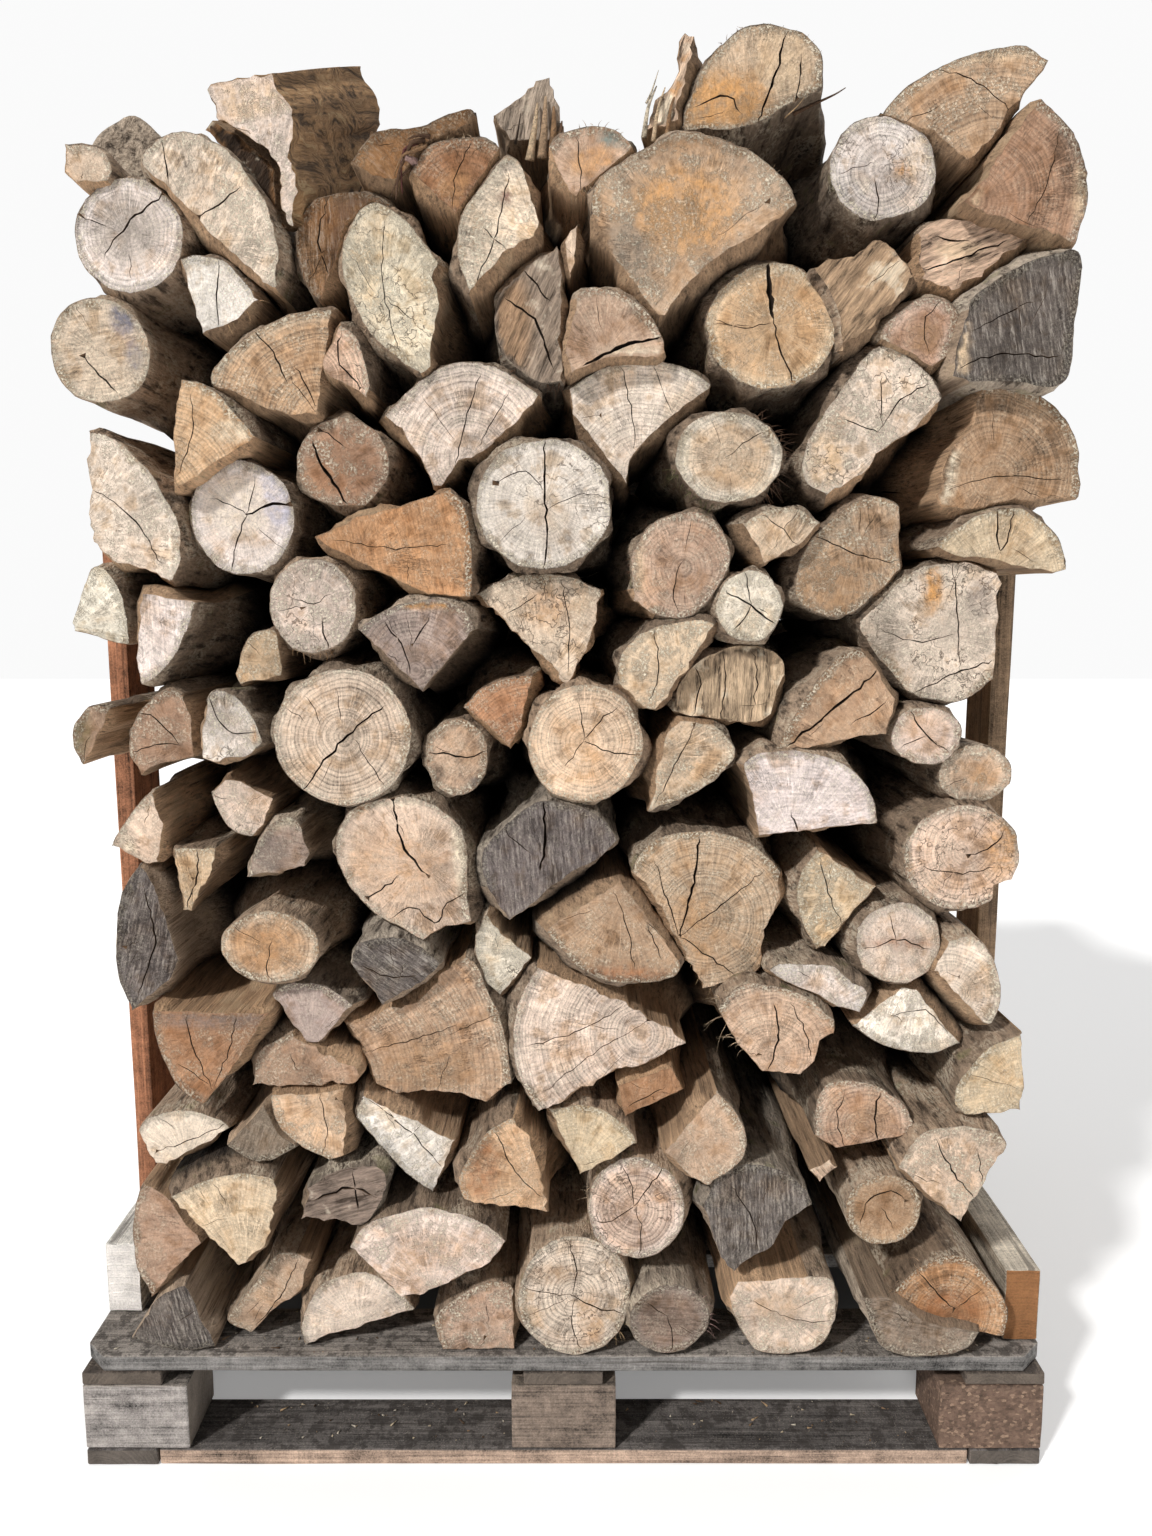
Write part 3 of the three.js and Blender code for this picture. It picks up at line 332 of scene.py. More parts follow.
        [(-78, 1588), (-45, 1607), (-28, 1624), (-13, 1625), (-2, 1604), (2, 1578), (-10, 1560),
         (-57, 1557)], [], y=60, back=430),
    "n4": split("tan", [(79, 1554), (47, 1529), (16, 1504), (4, 1511), (-16, 1557)],
        [(1, 1572), (39, 1580), (64, 1572)]),
    "n5": split("tan",
        [(84, 1569), (98, 1604), (117, 1626), (120, 1663), (130, 1671), (141, 1667), (139, 1637),
         (130, 1606), (124, 1576)], [], y=0, back=250, lean=(40, 0)),
    "n6": split("clay", [(276, 1609), (237, 1591), (217, 1580), (190, 1572), (156, 1572), (125, 1574)],
        [(130, 1600), (150, 1640), (185, 1672), (240, 1673), (276, 1645)], y=0, back=480, lean=(84, 14)),
    "n7": split("clay",
        [(257, 1498), (209, 1469), (161, 1437), (133, 1411), (113, 1384), (104, 1384), (47, 1454),
         (29, 1486)], [(36, 1518), (76, 1550), (136, 1572), (197, 1555), (245, 1522)]),

    "o1": rounded("snow", 343, 1535, 60, 56),
    "o2": split("clay",
        [(517, 1641), (494, 1609), (474, 1586), (469, 1571), (440, 1543), (431, 1540), (394, 1569),
         (337, 1590)], [(363, 1617), (403, 1641), (454, 1656), (490, 1659)]),
    "o3": split("brown",
        [(559, 1456), (494, 1477), (443, 1491), (426, 1499), (449, 1529), (469, 1563), (506, 1607)],
        [(537, 1580), (560, 1543), (568, 1500)]),
    "o4": split("tan", [(507, 1463), (480, 1446), (449, 1420), (420, 1403), (386, 1420), (379, 1469)],
        [(403, 1484), (449, 1484), (485, 1476)]),

    # The torn underside in the hollow of m6, painted near black for the shade it lies in
    "m6_hollow": split("umber",
        [(-371, 1583), (-343, 1571), (-314, 1551), (-303, 1534), (-303, 1490), (-294, 1474), (-310, 1470),
         (-330, 1500), (-352, 1540), (-380, 1572)], [], y=25, back=185, lean=(64, 84)),
}

# Long cracks that show: a path over the sawn end in the table's millimetres, and the widest gap
CRACKS = {
    "a4": [([(-380, 190), (-345, 235), (-325, 280)], 1.5)],
    "a6": [([(-300, 360), (-262, 372), (-232, 362)], 3.0), ([(-255, 388), (-250, 345)], 2.5)],
    "a7": [([(-488, 420), (-440, 440), (-405, 455)], 1.2)],
    "a9": [([(-290, 418), (-284, 450), (-292, 492)], 1.2)],
    "a10": [([(-230, 486), (-180, 440), (-150, 400)], 1.4)],
    "b1": [([(-30, 360), (-62, 400), (-80, 445)], 1.5)],
    "b3": [([(88, 350), (112, 385), (122, 400)], 1.6), ([(88, 350), (60, 330), (40, 328)], 1.4),
           ([(90, 345), (96, 312), (92, 290)], 1.4), ([(86, 348), (82, 380), (70, 398)], 1.2)],
    "b4": [([(10, 232), (40, 215), (72, 206)], 1.8), ([(12, 234), (16, 268), (8, 300)], 1.4),
           ([(8, 232), (-28, 236), (-48, 246)], 1.2), ([(14, 228), (10, 195), (20, 165)], 1.2)],
    "b5": [([(130, 200), (136, 170), (132, 156)], 1.6), ([(128, 204), (104, 222)], 1.2)],
    "b8": [([(80, 478), (120, 500)], 1.4)],
    "c1": [([(236, 300), (230, 335), (205, 372)], 1.6)],
    "c2": [([(268, 206), (300, 196), (326, 200)], 1.4), ([(262, 208), (236, 222)], 1.2)],
    "c4": [([(480, 215), (452, 244), (438, 262)], 1.8), ([(484, 214), (512, 240)], 1.4)],
    "c5": [([(362, 330), (372, 358), (398, 368), (416, 358)], 1.8), ([(388, 346), (402, 322)], 1.3)],
    "c6": [([(500, 360), (470, 395), (452, 432)], 1.8), ([(508, 382), (500, 420)], 1.4)],
    "c7": [([(380, 432), (374, 462), (378, 496)], 2.6), ([(340, 425), (330, 462), (338, 492)], 1.5)],
    "d1": [([(-500, 620), (-480, 680), (-490, 740)], 1.8)],
    "d2": [([(-420, 500), (-440, 548), (-448, 590)], 1.6), ([(-416, 508), (-396, 552), (-388, 590)], 1.4),
           ([(-424, 506), (-460, 530)], 1.2)],
    "d3": [([(-440, 725), (-426, 758), (-424, 790)], 1.8)],
    "d5": [([(-344, 680), (-348, 650), (-344, 636)], 1.6)],
    "d8": [([(-236, 650), (-200, 638), (-176, 640)], 1.8)],
    "d9": [([(-232, 545), (-180, 560), (-128, 580)], 1.2), ([(-150, 500), (-136, 540)], 1.0)],
    "e1": [([(-196, 848), (-186, 800), (-160, 764)], 3.0), ([(-236, 728), (-212, 745), (-192, 760)], 1.8),
           ([(-196, 712), (-174, 724), (-150, 704), (-142, 712), (-136, 728), (-114, 738)], 1.8)],
    "e2": [([(-22, 846), (-20, 800), (-26, 766)], 3.2), ([(-70, 818), (-40, 790)], 1.2)],
    "e4": [([(60, 740), (75, 700), (84, 650)], 1.2), ([(100, 700), (116, 660)], 1.2)],
    "e5": [([(70, 600), (20, 572), (-40, 556)], 1.2), ([(100, 580), (30, 540), (-20, 500)], 1.0)],
    "e6": [([(137, 692), (150, 740), (158, 806)], 3.0), ([(139, 690), (190, 730), (232, 764)], 1.6),
           ([(136, 690), (120, 740), (108, 776)], 1.4), ([(140, 688), (176, 660), (204, 640)], 1.6)],
    "f1": [([(246, 524), (256, 560), (250, 606)], 2.2), ([(296, 540), (284, 580), (270, 606)], 1.6)],
    "f2": [([(330, 700), (310, 740), (300, 780)], 1.4)],
    "f3": [([(360, 672), (394, 684), (430, 672)], 1.6), ([(392, 682), (384, 712)], 1.2)],
    "f5": [([(390, 590), (430, 596), (458, 570)], 1.2)],
    "f7": [([(475, 785), (498, 796), (510, 812)], 2.0), ([(420, 770), (466, 764), (500, 770)], 1.4)],
    "g4": [([(-270, 1054), (-268, 1036), (-259, 1023)], 2.2),
           ([(-300, 1080), (-280, 1074), (-262, 1086)], 1.2)],
    "g5": [([(-200, 1050), (-180, 1024), (-172, 996)], 1.8), ([(-150, 1060), (-168, 1030)], 1.6)],
    "g7": [([(-440, 916), (-462, 944), (-482, 952)], 1.4), ([(-440, 916), (-474, 912), (-492, 906)], 1.4),
           ([(-438, 914), (-430, 892)], 1.2)],
    "g8": [([(-402, 968), (-392, 942), (-378, 928), (-352, 928)], 1.6)],
    "g10": [([(-297, 863), (-252, 920), (-204, 958)], 2.6),
            ([(-236, 920), (-226, 900), (-208, 870)], 1.2), ([(-290, 968), (-276, 940)], 1.0),
            ([(-312, 956), (-296, 944)], 1.0)],
    "h1": [([(6, 1000), (8, 1044), (0, 1096)], 1.4), ([(-60, 1064), (-30, 1084)], 1.2)],
    "h2": [([(25, 920), (48, 946), (62, 956)], 1.4), ([(25, 920), (20, 960)], 1.2),
           ([(26, 918), (60, 905), (84, 904)], 1.4), ([(24, 918), (4, 890)], 1.2)],
    "h3": [([(-157, 906), (-130, 903), (-110, 901), (-86, 905)], 2.2)],
    "h5": [([(100, 966), (110, 1000), (104, 1044)], 1.4)],
    "h6": [([(150, 952), (156, 984), (150, 1010)], 1.6), ([(180, 946), (186, 986), (182, 1020)], 1.6),
           ([(214, 944), (222, 984), (216, 1020)], 1.4)],
    "h7": [([(110, 850), (130, 890), (150, 934)], 1.4)],
    "i1": [([(186, 1088), (212, 1072), (240, 1052)], 2.2), ([(206, 1108), (212, 1074)], 1.6),
           ([(212, 1072), (196, 1046)], 1.6)],
    "i2": [([(437, 1118), (446, 1060), (451, 1009)], 1.6), ([(403, 975), (446, 996), (488, 1010)], 1.8),
           ([(360, 1046), (400, 1032), (440, 1040)], 1.2)],
    "i3": [([(357, 997), (312, 958), (257, 912)], 3.2), ([(368, 962), (330, 940)], 1.4)],
    "i4": [([(398, 952), (416, 926), (440, 908)], 2.0), ([(392, 914), (414, 924)], 1.4)],
    "i6": [([(266, 831), (270, 822), (273, 813)], 2.0)],
    "j1": [([(-520, 1340), (-506, 1322), (-490, 1305)], 2.0)],
    "j2": [([(-520, 1200), (-480, 1170), (-450, 1120)], 1.6)],
    "j3": [([(-425, 1215), (-406, 1262), (-408, 1300)], 1.2)],
    "j4": [([(-351, 1173), (-322, 1184), (-297, 1183)], 3.0),
           ([(-351, 1173), (-364, 1140), (-371, 1112)], 1.6), ([(-351, 1173), (-388, 1190)], 1.2),
           ([(-351, 1173), (-340, 1210)], 1.2)],
    "j5": [([(-334, 1366), (-312, 1340), (-300, 1316)], 1.8), ([(-270, 1290), (-290, 1330)], 1.4)],
    "j6": [([(-222, 1310), (-244, 1340), (-240, 1362)], 2.0)],
    "j7": [([(-275, 1247), (-258, 1214), (-240, 1185)], 3.6), ([(-262, 1262), (-240, 1246)], 1.6)],
    "j8": [([(-250, 1146), (-200, 1136), (-130, 1140)], 1.2)],
    "k1": [([(-190, 1482), (-194, 1420), (-178, 1350)], 1.2), ([(-160, 1380), (-188, 1400)], 1.2)],
    "k2": [([(-120, 1215), (-110, 1260), (-90, 1320)], 1.4), ([(-90, 1250), (-60, 1300)], 1.2)],
    "k3": [([(-18, 1255), (-20, 1200), (-16, 1150), (-20, 1114)], 2.4),
           ([(-70, 1210), (-40, 1220), (-22, 1200)], 1.2), ([(-14, 1180), (24, 1196), (50, 1190)], 1.0)],
    "k4": [([(-60, 1400), (-30, 1380), (-10, 1330)], 2.6), ([(-40, 1430), (-14, 1400)], 2.2)],
    "k6": [([(104, 1362), (66, 1352), (24, 1332)], 4.0)],
    "k7": [([(80, 1240), (76, 1290), (66, 1330)], 1.2), ([(120, 1284), (100, 1330)], 1.0)],
    "k8": [([(186, 1236), (200, 1250), (222, 1262)], 1.2)],
    "k9": [([(132, 1120), (126, 1090), (130, 1066)], 1.4)],
    "l1": [([(222, 1440), (226, 1410), (230, 1381)], 6.0), ([(230, 1381), (238, 1350), (256, 1307)], 2.2),
           ([(168, 1380), (200, 1372), (226, 1376)], 1.2)],
    "l3": [([(400, 1348), (394, 1376), (410, 1400)], 1.4)],
    "l4": [([(350, 1265), (376, 1300), (400, 1312)], 1.4), ([(348, 1262), (312, 1276)], 1.4),
           ([(352, 1266), (350, 1320)], 1.2)],
    "l5": [([(436, 1330), (480, 1344), (540, 1340)], 1.8), ([(450, 1370), (510, 1400)], 1.4)],
    "l6": [([(430, 1200), (480, 1214), (556, 1210)], 1.2)],
    "l7": [([(483, 1178), (486, 1150), (490, 1130)], 2.0),
           ([(503, 1178), (498, 1152), (490, 1130)], 1.8)],
    "l8": [([(262, 1140), (240, 1160), (222, 1172)], 1.2)],
    "l9": [([(372, 1120), (330, 1130), (280, 1150)], 1.4)],
    "m3": [([(-493, 1449), (-462, 1482), (-424, 1510)], 2.2), ([(-512, 1486), (-490, 1476)], 1.4)],
    "m4": [([(-392, 1484), (-362, 1502), (-344, 1516)], 1.6), ([(-424, 1560), (-420, 1522)], 1.6)],
    "m5": [([(-372, 1370), (-374, 1400), (-370, 1440)], 1.4)],
    "m8": [([(-250, 1420), (-262, 1460), (-252, 1500)], 1.6)],
    "n1": [([(-118, 1492), (-112, 1530), (-96, 1560)], 1.2)],
    "n2": [([(-96, 1412), (-70, 1470), (-56, 1530)], 1.6), ([(-60, 1452), (-84, 1474)], 1.2)],
    "n4": [([(20, 1510), (20, 1540), (16, 1566)], 1.2)],
    "n6": [([(210, 1584), (226, 1630), (234, 1664)], 2.6), ([(146, 1600), (176, 1608), (190, 1592)], 2.0),
           ([(250, 1606), (252, 1640)], 1.8)],
    "o1": [([(336, 1484), (340, 1504), (334, 1522)], 1.6), ([(330, 1540), (300, 1530)], 1.0)],
    "o2": [([(476, 1590), (440, 1620), (400, 1634)], 1.4)],
    "o3": [([(500, 1478), (520, 1520), (530, 1570)], 1.2)],
    "o4": [([(390, 1430), (430, 1444), (480, 1462)], 2.2), ([(400, 1464), (440, 1462)], 1.8)],
}

# Stains, hearts and pale edges that show on the ends, and a few patches of painted shade: place, half width
# and height, colour and strength
MARKS = {
    "a1": [((-500, 226), (12, 16), "ash", 0.5)],
    "b1": [((-100, 400), (22, 40), "russet", 0.6)],
    "b4": [((-12, 260), (32, 12), "walnut", 0.5), ((34, 196), (14, 40), "ochre", 0.4)],
    "b7": [((-160, 292), (44, 20), "ochre", 0.4)],
    "c2": [((266, 214), (28, 20), "fawn", 0.5)],
    "c4": [((480, 212), (38, 24), "russet", 0.55)],
    "c7": [((372, 462), (26, 20), "walnut", 0.55)],
    "d2": [((-420, 588), (80, 12), "lead", 0.7)],
    "d4": [((-328, 830), (36, 10), "cream", 0.8), ((-338, 788), (18, 26), "lead", 0.6)],
    "d5": [((-344, 675), (40, 28), "ochre", 0.55)],
    "d9": [((-160, 528), (56, 34), "walnut", 0.6)],
    "e1": [((-118, 800), (10, 54), "cream", 0.75), ((-190, 851), (60, 8), "cream", 0.65),
           ((-190, 772), (48, 42), "ochre", 0.4)],
    "e4": [((70, 638), (64, 11), "russet", 0.6)],
    "e6": [((146, 690), (52, 44), "ochre", 0.4)],
    "f3": [((394, 680), (42, 6), "russet", 0.55)],
    "f7": [((514, 796), (20, 34), "amber", 0.6)],
    "g5": [((-150, 1078), (58, 9), "amber", 0.9), ((-196, 1030), (34, 30), "lead", 0.5)],
    "g6": [((-553, 930), (13, 26), "moss", 0.6)],
    "g8": [((-346, 920), (8, 32), "amber", 0.65)],
    "g11": [((-512, 788), (14, 24), "cream", 0.75)],
    "h1": [((-20, 1070), (28, 18), "ochre", 0.45)],
    "h3": [((-143, 882), (8, 9), "soot", 0.85), ((-100, 868), (10, 9), "lead", 0.8)],
    "h6": [((200, 1026), (64, 9), "soot", 0.85)],
    # i2's lead and stone marks are painted shade on its right and on its lower left
    "i2": [((417, 1093), (9, 24), "amber", 0.9), ((470, 1080), (14, 22), "lead", 0.65),
           ((358, 1030), (22, 44), "stone", 0.6)],
    "i3": [((262, 906), (32, 9), "cream", 0.65)],
    "i5": [((484, 878), (14, 10), "ochre", 0.65)],
    "j1": [((-478, 1384), (12, 20), "ink", 0.8), ((-468, 1344), (8, 18), "ink", 0.6)],
    "j3": [((-352, 1262), (28, 14), "cream", 0.6)],
    "j4": [((-312, 1196), (22, 40), "lilac", 0.6), ((-360, 1180), (34, 30), "cream", 0.4)],
    "k4": [((-56, 1374), (22, 54), "walnut", 0.7)],
    "k6": [((88, 1346), (32, 7), "cream", 0.75)],
    "k8": [((131, 1246), (10, 32), "cream", 0.7), ((190, 1235), (36, 32), "fawn", 0.5)],
    "k9": [((84, 1125), (8, 44), "butter", 0.6)],
    "l1": [((192, 1350), (12, 40), "fawn", 0.5)],
    "l3": [((394, 1362), (18, 18), "walnut", 0.7)],
    "l4": [((292, 1232), (20, 30), "wheat", 0.5)],
    "l5": [((436, 1345), (7, 46), "butter", 0.85)],
    "l6": [((424, 1228), (12, 42), "cream", 0.85)],
    "l9": [((300, 1094), (46, 34), "walnut", 0.75)],
    "m3": [((-466, 1472), (32, 34), "ash", 0.7)],
    "m6": [((-330, 1604), (34, 18), "wheat", 0.5)],
    # The near-black mark over the hollow under m6 is painted shade
    "m6_hollow": [((-330, 1530), (90, 90), "soot", 0.95)],
    "m8": [((-218, 1496), (26, 26), "cocoa", 0.85), ((-238, 1462), (9, 26), "cocoa", 0.7)],
    "n1": [((-112, 1508), (22, 22), "ochre", 0.55)],
    "n2": [((-62, 1506), (6, 5), "wine", 0.9), ((-58, 1540), (10, 8), "lead", 0.5)],
    "n4": [((56, 1563), (16, 8), "verdigris", 0.85), ((34, 1540), (26, 14), "amber", 0.5)],
    "n5": [((119, 1638), (14, 36), "ochre", 0.9), ((132, 1672), (12, 7), "soot", 0.95),
           ((102, 1590), (22, 26), "cream", 0.8)],
    "n6": [((172, 1602), (46, 30), "amber", 0.7), ((232, 1640), (26, 32), "butter", 0.55)],
    "n7": [((140, 1562), (104, 12), "walnut", 0.85), ((134, 1492), (54, 42), "amber", 0.6),
           ((66, 1440), (26, 40), "stone", 0.7)],
    "o1": [((366, 1536), (9, 8), "amber", 0.9), ((382, 1548), (16, 22), "butter", 0.5)],
    "o2": [((430, 1650), (62, 8), "butter", 0.65)],
    "o3": [((438, 1512), (10, 26), "butter", 0.7), ((560, 1520), (9, 52), "butter", 0.65)],
    "o4": [((430, 1452), (24, 10), "butter", 0.6)],
}

# Frayed rims: from and to which angle, how many fibres, how long, and their colour
FRAYED = {
    "k8": [(-55, 60, 60, 11, "cocoa"), (190, 262, 40, 8, "moss")],
    "f1": [(140, 230, 18, 15, "butter")],
    "b4": [(-70, 20, 12, 10, "wheat")],
    "b5": [(-40, 60, 12, 8, "rose")],
    "c4": [(100, 200, 14, 8, "fawn")],
    "n4": [(190, 300, 24, 8, "butter"), (30, 120, 10, 6, "fawn")],
    "n1": [(60, 120, 14, 5, "butter")],
    "n6": [(20, 130, 30, 4, "walnut")],
    "k9": [(100, 200, 20, 7, "cocoa")],
    "g4": [(-150, -60, 14, 7, "ochre")],
    "b3": [(150, 260, 16, 10, "butter")],
    "e6": [(200, 300, 14, 8, "wheat")],
    "k4": [(220, 330, 26, 9, "cocoa")],
    "m5": [(-80, 20, 12, 7, "wheat")],
    "n7": [(20, 160, 40, 4, "fawn")],
}
FIBRE_RADIUS = 0.45

# Torn strands, splinters and a twig: points of X, depth and Z in millimetres, radius at their start, colour
STRANDS = {
    "m7": [([(-146, -2, 1562), (-158, -12, 1556), (-163, -12, 1545), (-172, -10, 1528), (-177, -4, 1502)],
            3.0, "cocoa"),
           ([(-152, -2, 1560), (-166, -9, 1550), (-170, -8, 1530), (-170, -4, 1508)], 2.2, "wine"),
           ([(-144, -2, 1556), (-155, -12, 1548), (-168, -14, 1542), (-178, -8, 1524)], 2.6, "walnut"),
           ([(-140, -2, 1566), (-152, -10, 1564), (-162, -11, 1560)], 2.8, "cocoa"),
           ([(-156, -3, 1540), (-164, -12, 1541), (-171, -6, 1538)], 5.0, "rose"),
           ([(-160, -3, 1534), (-175, -6, 1520), (-182, -4, 1504)], 1.6, "cocoa")],
    "n6": [([(250, 22, 1597), (272, 18, 1606), (292, 12, 1613), (303, 10, 1619)], 2.4, "cocoa"),
           ([(238, 8, 1588), (250, -3, 1596), (258, -3, 1606)], 0.9, "wheat")],
    "n3": [([(-36, 56, 1562), (-30, 50, 1594), (-27, 56, 1622)], 5.5, "butter"),
           ([(-22, 56, 1564), (-19, 50, 1596), (-18, 57, 1629)], 6.5, "fawn"),
           ([(-12, 56, 1566), (-9, 51, 1590), (-9, 58, 1619)], 6.0, "walnut"),
           ([(-4, 56, 1566), (-2, 52, 1586), (0, 58, 1604)], 4.5, "cocoa"),
           ([(-52, 58, 1580), (-48, 55, 1596), (-46, 58, 1612)], 1.6, "soot")],
    "n5": [([(88, 2, 1566), (92, -3, 1594), (101, 4, 1618)], 3.4, "cream"),
           ([(98, 2, 1562), (102, -4, 1590), (110, 2, 1616)], 3.0, "butter"),
           ([(112, 2, 1566), (116, -3, 1594), (122, 3, 1612)], 3.2, "walnut"),
           ([(90, 2, 1600), (96, 0, 1612), (103, 4, 1634)], 1.4, "cream")],
}
THIN_STRAND = 1.0
STRAND_TAPER = 0.8

# Colours of the marks, fibres and strands in sRGB
SHADES = {
    "cream": (230, 215, 190),
    "butter": (222, 194, 160),
    "wheat": (210, 176, 134),
    "fawn": (186, 156, 126),
    "amber": (206, 150, 88),
    "ochre": (188, 142, 98),
    "walnut": (156, 122, 90),
    "russet": (152, 98, 62),
    "cocoa": (104, 78, 60),
    "soot": (58, 45, 35),
    "ash": (172, 160, 148),
    "stone": (140, 128, 114),
    "lead": (116, 105, 100),
    "ink": (95, 100, 123),
    "lilac": (164, 166, 190),
    "rose": (178, 146, 138),
    "wine": (110, 66, 62),
    "moss": (104, 102, 68),
    "verdigris": (104, 124, 120),
}

# Sawn-end colours in sRGB, with how grey the bark and the split sides beside them are
TONES = {
    "snow": ((233, 224, 212), 0.5),
    "white": ((225, 213, 200), 0.4),
    "cream": ((225, 209, 189), 0.3),
    "pink": ((216, 197, 180), 0.35),
    "sand": ((210, 187, 162), 0.3),
    "tan": ((201, 173, 145), 0.3),
    "clay": ((187, 161, 137), 0.4),
    "straw": ((220, 190, 164), 0.25),
    "honey": ((208, 175, 138), 0.25),
    "rust": ((164, 128, 98), 0.2),
    "orange": ((184, 141, 104), 0.1),
    "brown": ((169, 140, 116), 0.4),
    "umber": ((134, 101, 68), 0.3),
    "dove": ((170, 152, 140), 0.7),
    "grey": ((140, 123, 110), 0.8),
    "slate": ((108, 100, 94), 1.0),
    "char": ((94, 86, 82), 1.0),
}
BARK_BROWN = (142, 118, 96)
BARK_GREY = (152, 140, 126)
SIDE_TAN = (190, 152, 116)
SIDE_GREY = (162, 142, 122)

# Front ends that aren't sawn, the torn ones with the direction of their fibres in degrees
TORN_ENDS = {"n3": 75, "n5": 70, "l2": 52, "k4": 65, "o4": 22, "a6": 15, "c8": -50, "h6": 88,
             "m6_hollow": 55}
BARKED_ENDS = ("m2",)

# Sides that are bark all round, and split sides with knots
BARKED_SIDES = ("n6", "m2")
KNOTTY_SIDES = ("m6",)

# Ends with a torn rim, and ends with nearly straight edges
RAGGED = "b1 d7 d9 e6 g6 g11 h1 h5 j2 k1 k4 l2 l6 m6 m8 n3 n5 o3 o4 e5 c6 a3 a6".split()
STRAIGHT_EDGED = "j8 c4 d2 i6 k7".split()

# Ends with clear year rings, saw lines, a darker heart, worm tracks, and patches of pale torn wood
RINGED = "b3 b4 c4 c7 d5 d9 e5 e6 f1 f6 f7 g5 g10 h2 h4 j3 j5 j6 k2 k7 k8 k9 l3 l6 m3 n1 o1 o2 o3".split()
SAWN = "a8 b5 c1 d1 d4 d8 e2 g2 h3 j1 j8 l5 l9 n2 l8 c3 a1 i6 n6 m8 m4".split()
HEARTED = "b3 b5 c5 c7 d5 d9 i5 j5 j7 k8 l1 l3 n1 o2 o3".split()
WORMED = "b4 e3 f7 g4 g8 g9 h1 i2 k3 l4 o1 b3 k1".split()
SPECKLED = "a9 a10 b6 b7 c2 c6 e3 f2 f4 f5 g1 g3 g4 g8 h5 h7 i1 i5 j2 j7 k1 l4 l9 m4 m6 n2 n7".split()

# The direction across the saw lines, in degrees, where it shows
SAW_DIRECTIONS = {"g2": 0, "j8": 12, "i6": 88, "e2": 5, "l5": 10, "l9": 8, "n6": 4, "m4": -30, "j1": 100,
                  "m8": 0, "c1": 2, "d1": -12, "d8": 55}

# The bunches of logs that touch each other, in either row
BUNCHES = {
    "logs_bottom_left": "a1 a2 a3 a4 a5 a6 b1 b7",
    "logs_bottom_middle": "b2 b3 b4 b5 b6 b8 b9 c1 c2 d8 d9 e1 e3 e5 g10",
    "logs_bottom_right": "c3 c4",
    "logs_low_left": "a7 a8 a9 a10 d1 d2 d3 d5 d6 d7 g11",
    "logs_low_right": "c5 c6 c7 c8 c9 e4 e6 f1 f2 f3 f4 f5 f6",
    "logs_lower_left": "d4 g9",
    "log_left_edge": "g6",
    "logs_middle_left": "g3 g4 g5 g7 g8",
    "logs_centre": "e2 h2 h3 h4 h5 h6 h7 i1 k8 k9 l8 l9",
    "logs_middle_right": "f7 i2 i3 i4 i5 i6 l6 l7",
    "logs_upper_left": "g1 g2 j2 j3 j4 j5 j6 j7",
    "logs_upper_middle": "h1 j8 k1 k2 k3 k4 k5 k6 k7 m6 m6_hollow m8 n4 n5 n6 n7",
    "logs_upper_right": "l1 l2 l3 l4 l5 o1 o2 o3 o4",
    "logs_top_left": "j1 m1 m2 m3 m4 m5",
    "logs_top_middle": "m7 n1 n2",
    "log_top_stump": "n3",
}


def linear(colour):
    """An sRGB colour of 0 to 255 as linear values, with alpha."""
    part = np.asarray(colour, float) / 255
    low = part / 12.92
    high = ((part + 0.055) / 1.055) ** 2.4
    return (*np.where(part <= 0.04045, low, high), 1.0)


def mixed(a, b, share):
    return tuple(x + (y - x) * share for x, y in zip(a, b))


# Smooth noise


def lattice(cells, seed):
    """A value of -1 to 1 for each lattice cell, the same on every run."""
    mixed_bits = (cells[..., 0] * 374761393 + cells[..., 1] * 668265263 + cells[..., 2] * 2147483647
                  + int(seed) * 1274126177) & 0xFFFFFFFF
    mixed_bits = ((mixed_bits ^ (mixed_bits >> 13)) * 1274126177) & 0xFFFFFFFF
    return ((mixed_bits ^ (mixed_bits >> 16)) & 0xFFFF) / 32767.5 - 1.0


def noise(points, size, seed=0):
    """Smooth noise of -1 to 1 at points of shape (n, 3), with features about size across."""
    scaled = np.asarray(points, float) / np.asarray(size, float)
    cell = np.floor(scaled).astype(np.int64)
    part = scaled - cell
    part = part * part * (3 - 2 * part)
    total = np.zeros(len(scaled))
    for corner in range(8):
        step = np.array([corner & 1, corner >> 1 & 1, corner >> 2 & 1])
        weight = np.prod(np.where(step == 1, part, 1 - part), axis=1)
        total += weight * lattice(cell + step, seed)
    return total


def layered(points, layers, seed):
    """Noises added up. Each layer is its height, its size, and what it adds to the seed."""
    return sum(height * noise(points, size, seed + added) for height, size, added in layers)


# Outlines of the sawn ends

# The layers of the outlines' relief: broad waves, small nicks, and torn edges
WAVES = ((1.8, 42, 11), (1.1, 17, 12))
NICKS = ((1.0, 8, 13),)
TEARS = ((2.6, 12, 14), (2.0, 5, 15))
MEAN_WAVE = -1.0
MEAN_TEAR = -1.0
BARK_NICKS = 0.6
RAGGED_SHARE, PLAIN_SHARE = 1.0, 0.3
STRAIGHT_EDGE_SHARE = 0.35

FARTHEST_PITH = 170.0


def curve_through(points, step):
    """Catmull-Rom points from the first point to the last, about step apart."""
    points = np.asarray(points, float)
    result = []
    for i in range(len(points) - 1):
        p1, p2 = points[i], points[i + 1]
        p0 = points[max(i - 1, 0)]
        p3 = points[min(i + 2, len(points) - 1)]
        count = max(2, round(float(np.linalg.norm(p2 - p1)) / step))
        v0, v1 = (p2 - p0) / 2, (p3 - p1) / 2
        for t in np.arange(count) / count:
            cubic = (2 * p1 - 2 * p2 + v0 + v1) * t**3
            square = (-3 * p1 + 3 * p2 - 2 * v0 - v1) * t**2
            result.append(cubic + square + v0 * t + p1)
    return np.array(result + [points[-1]])


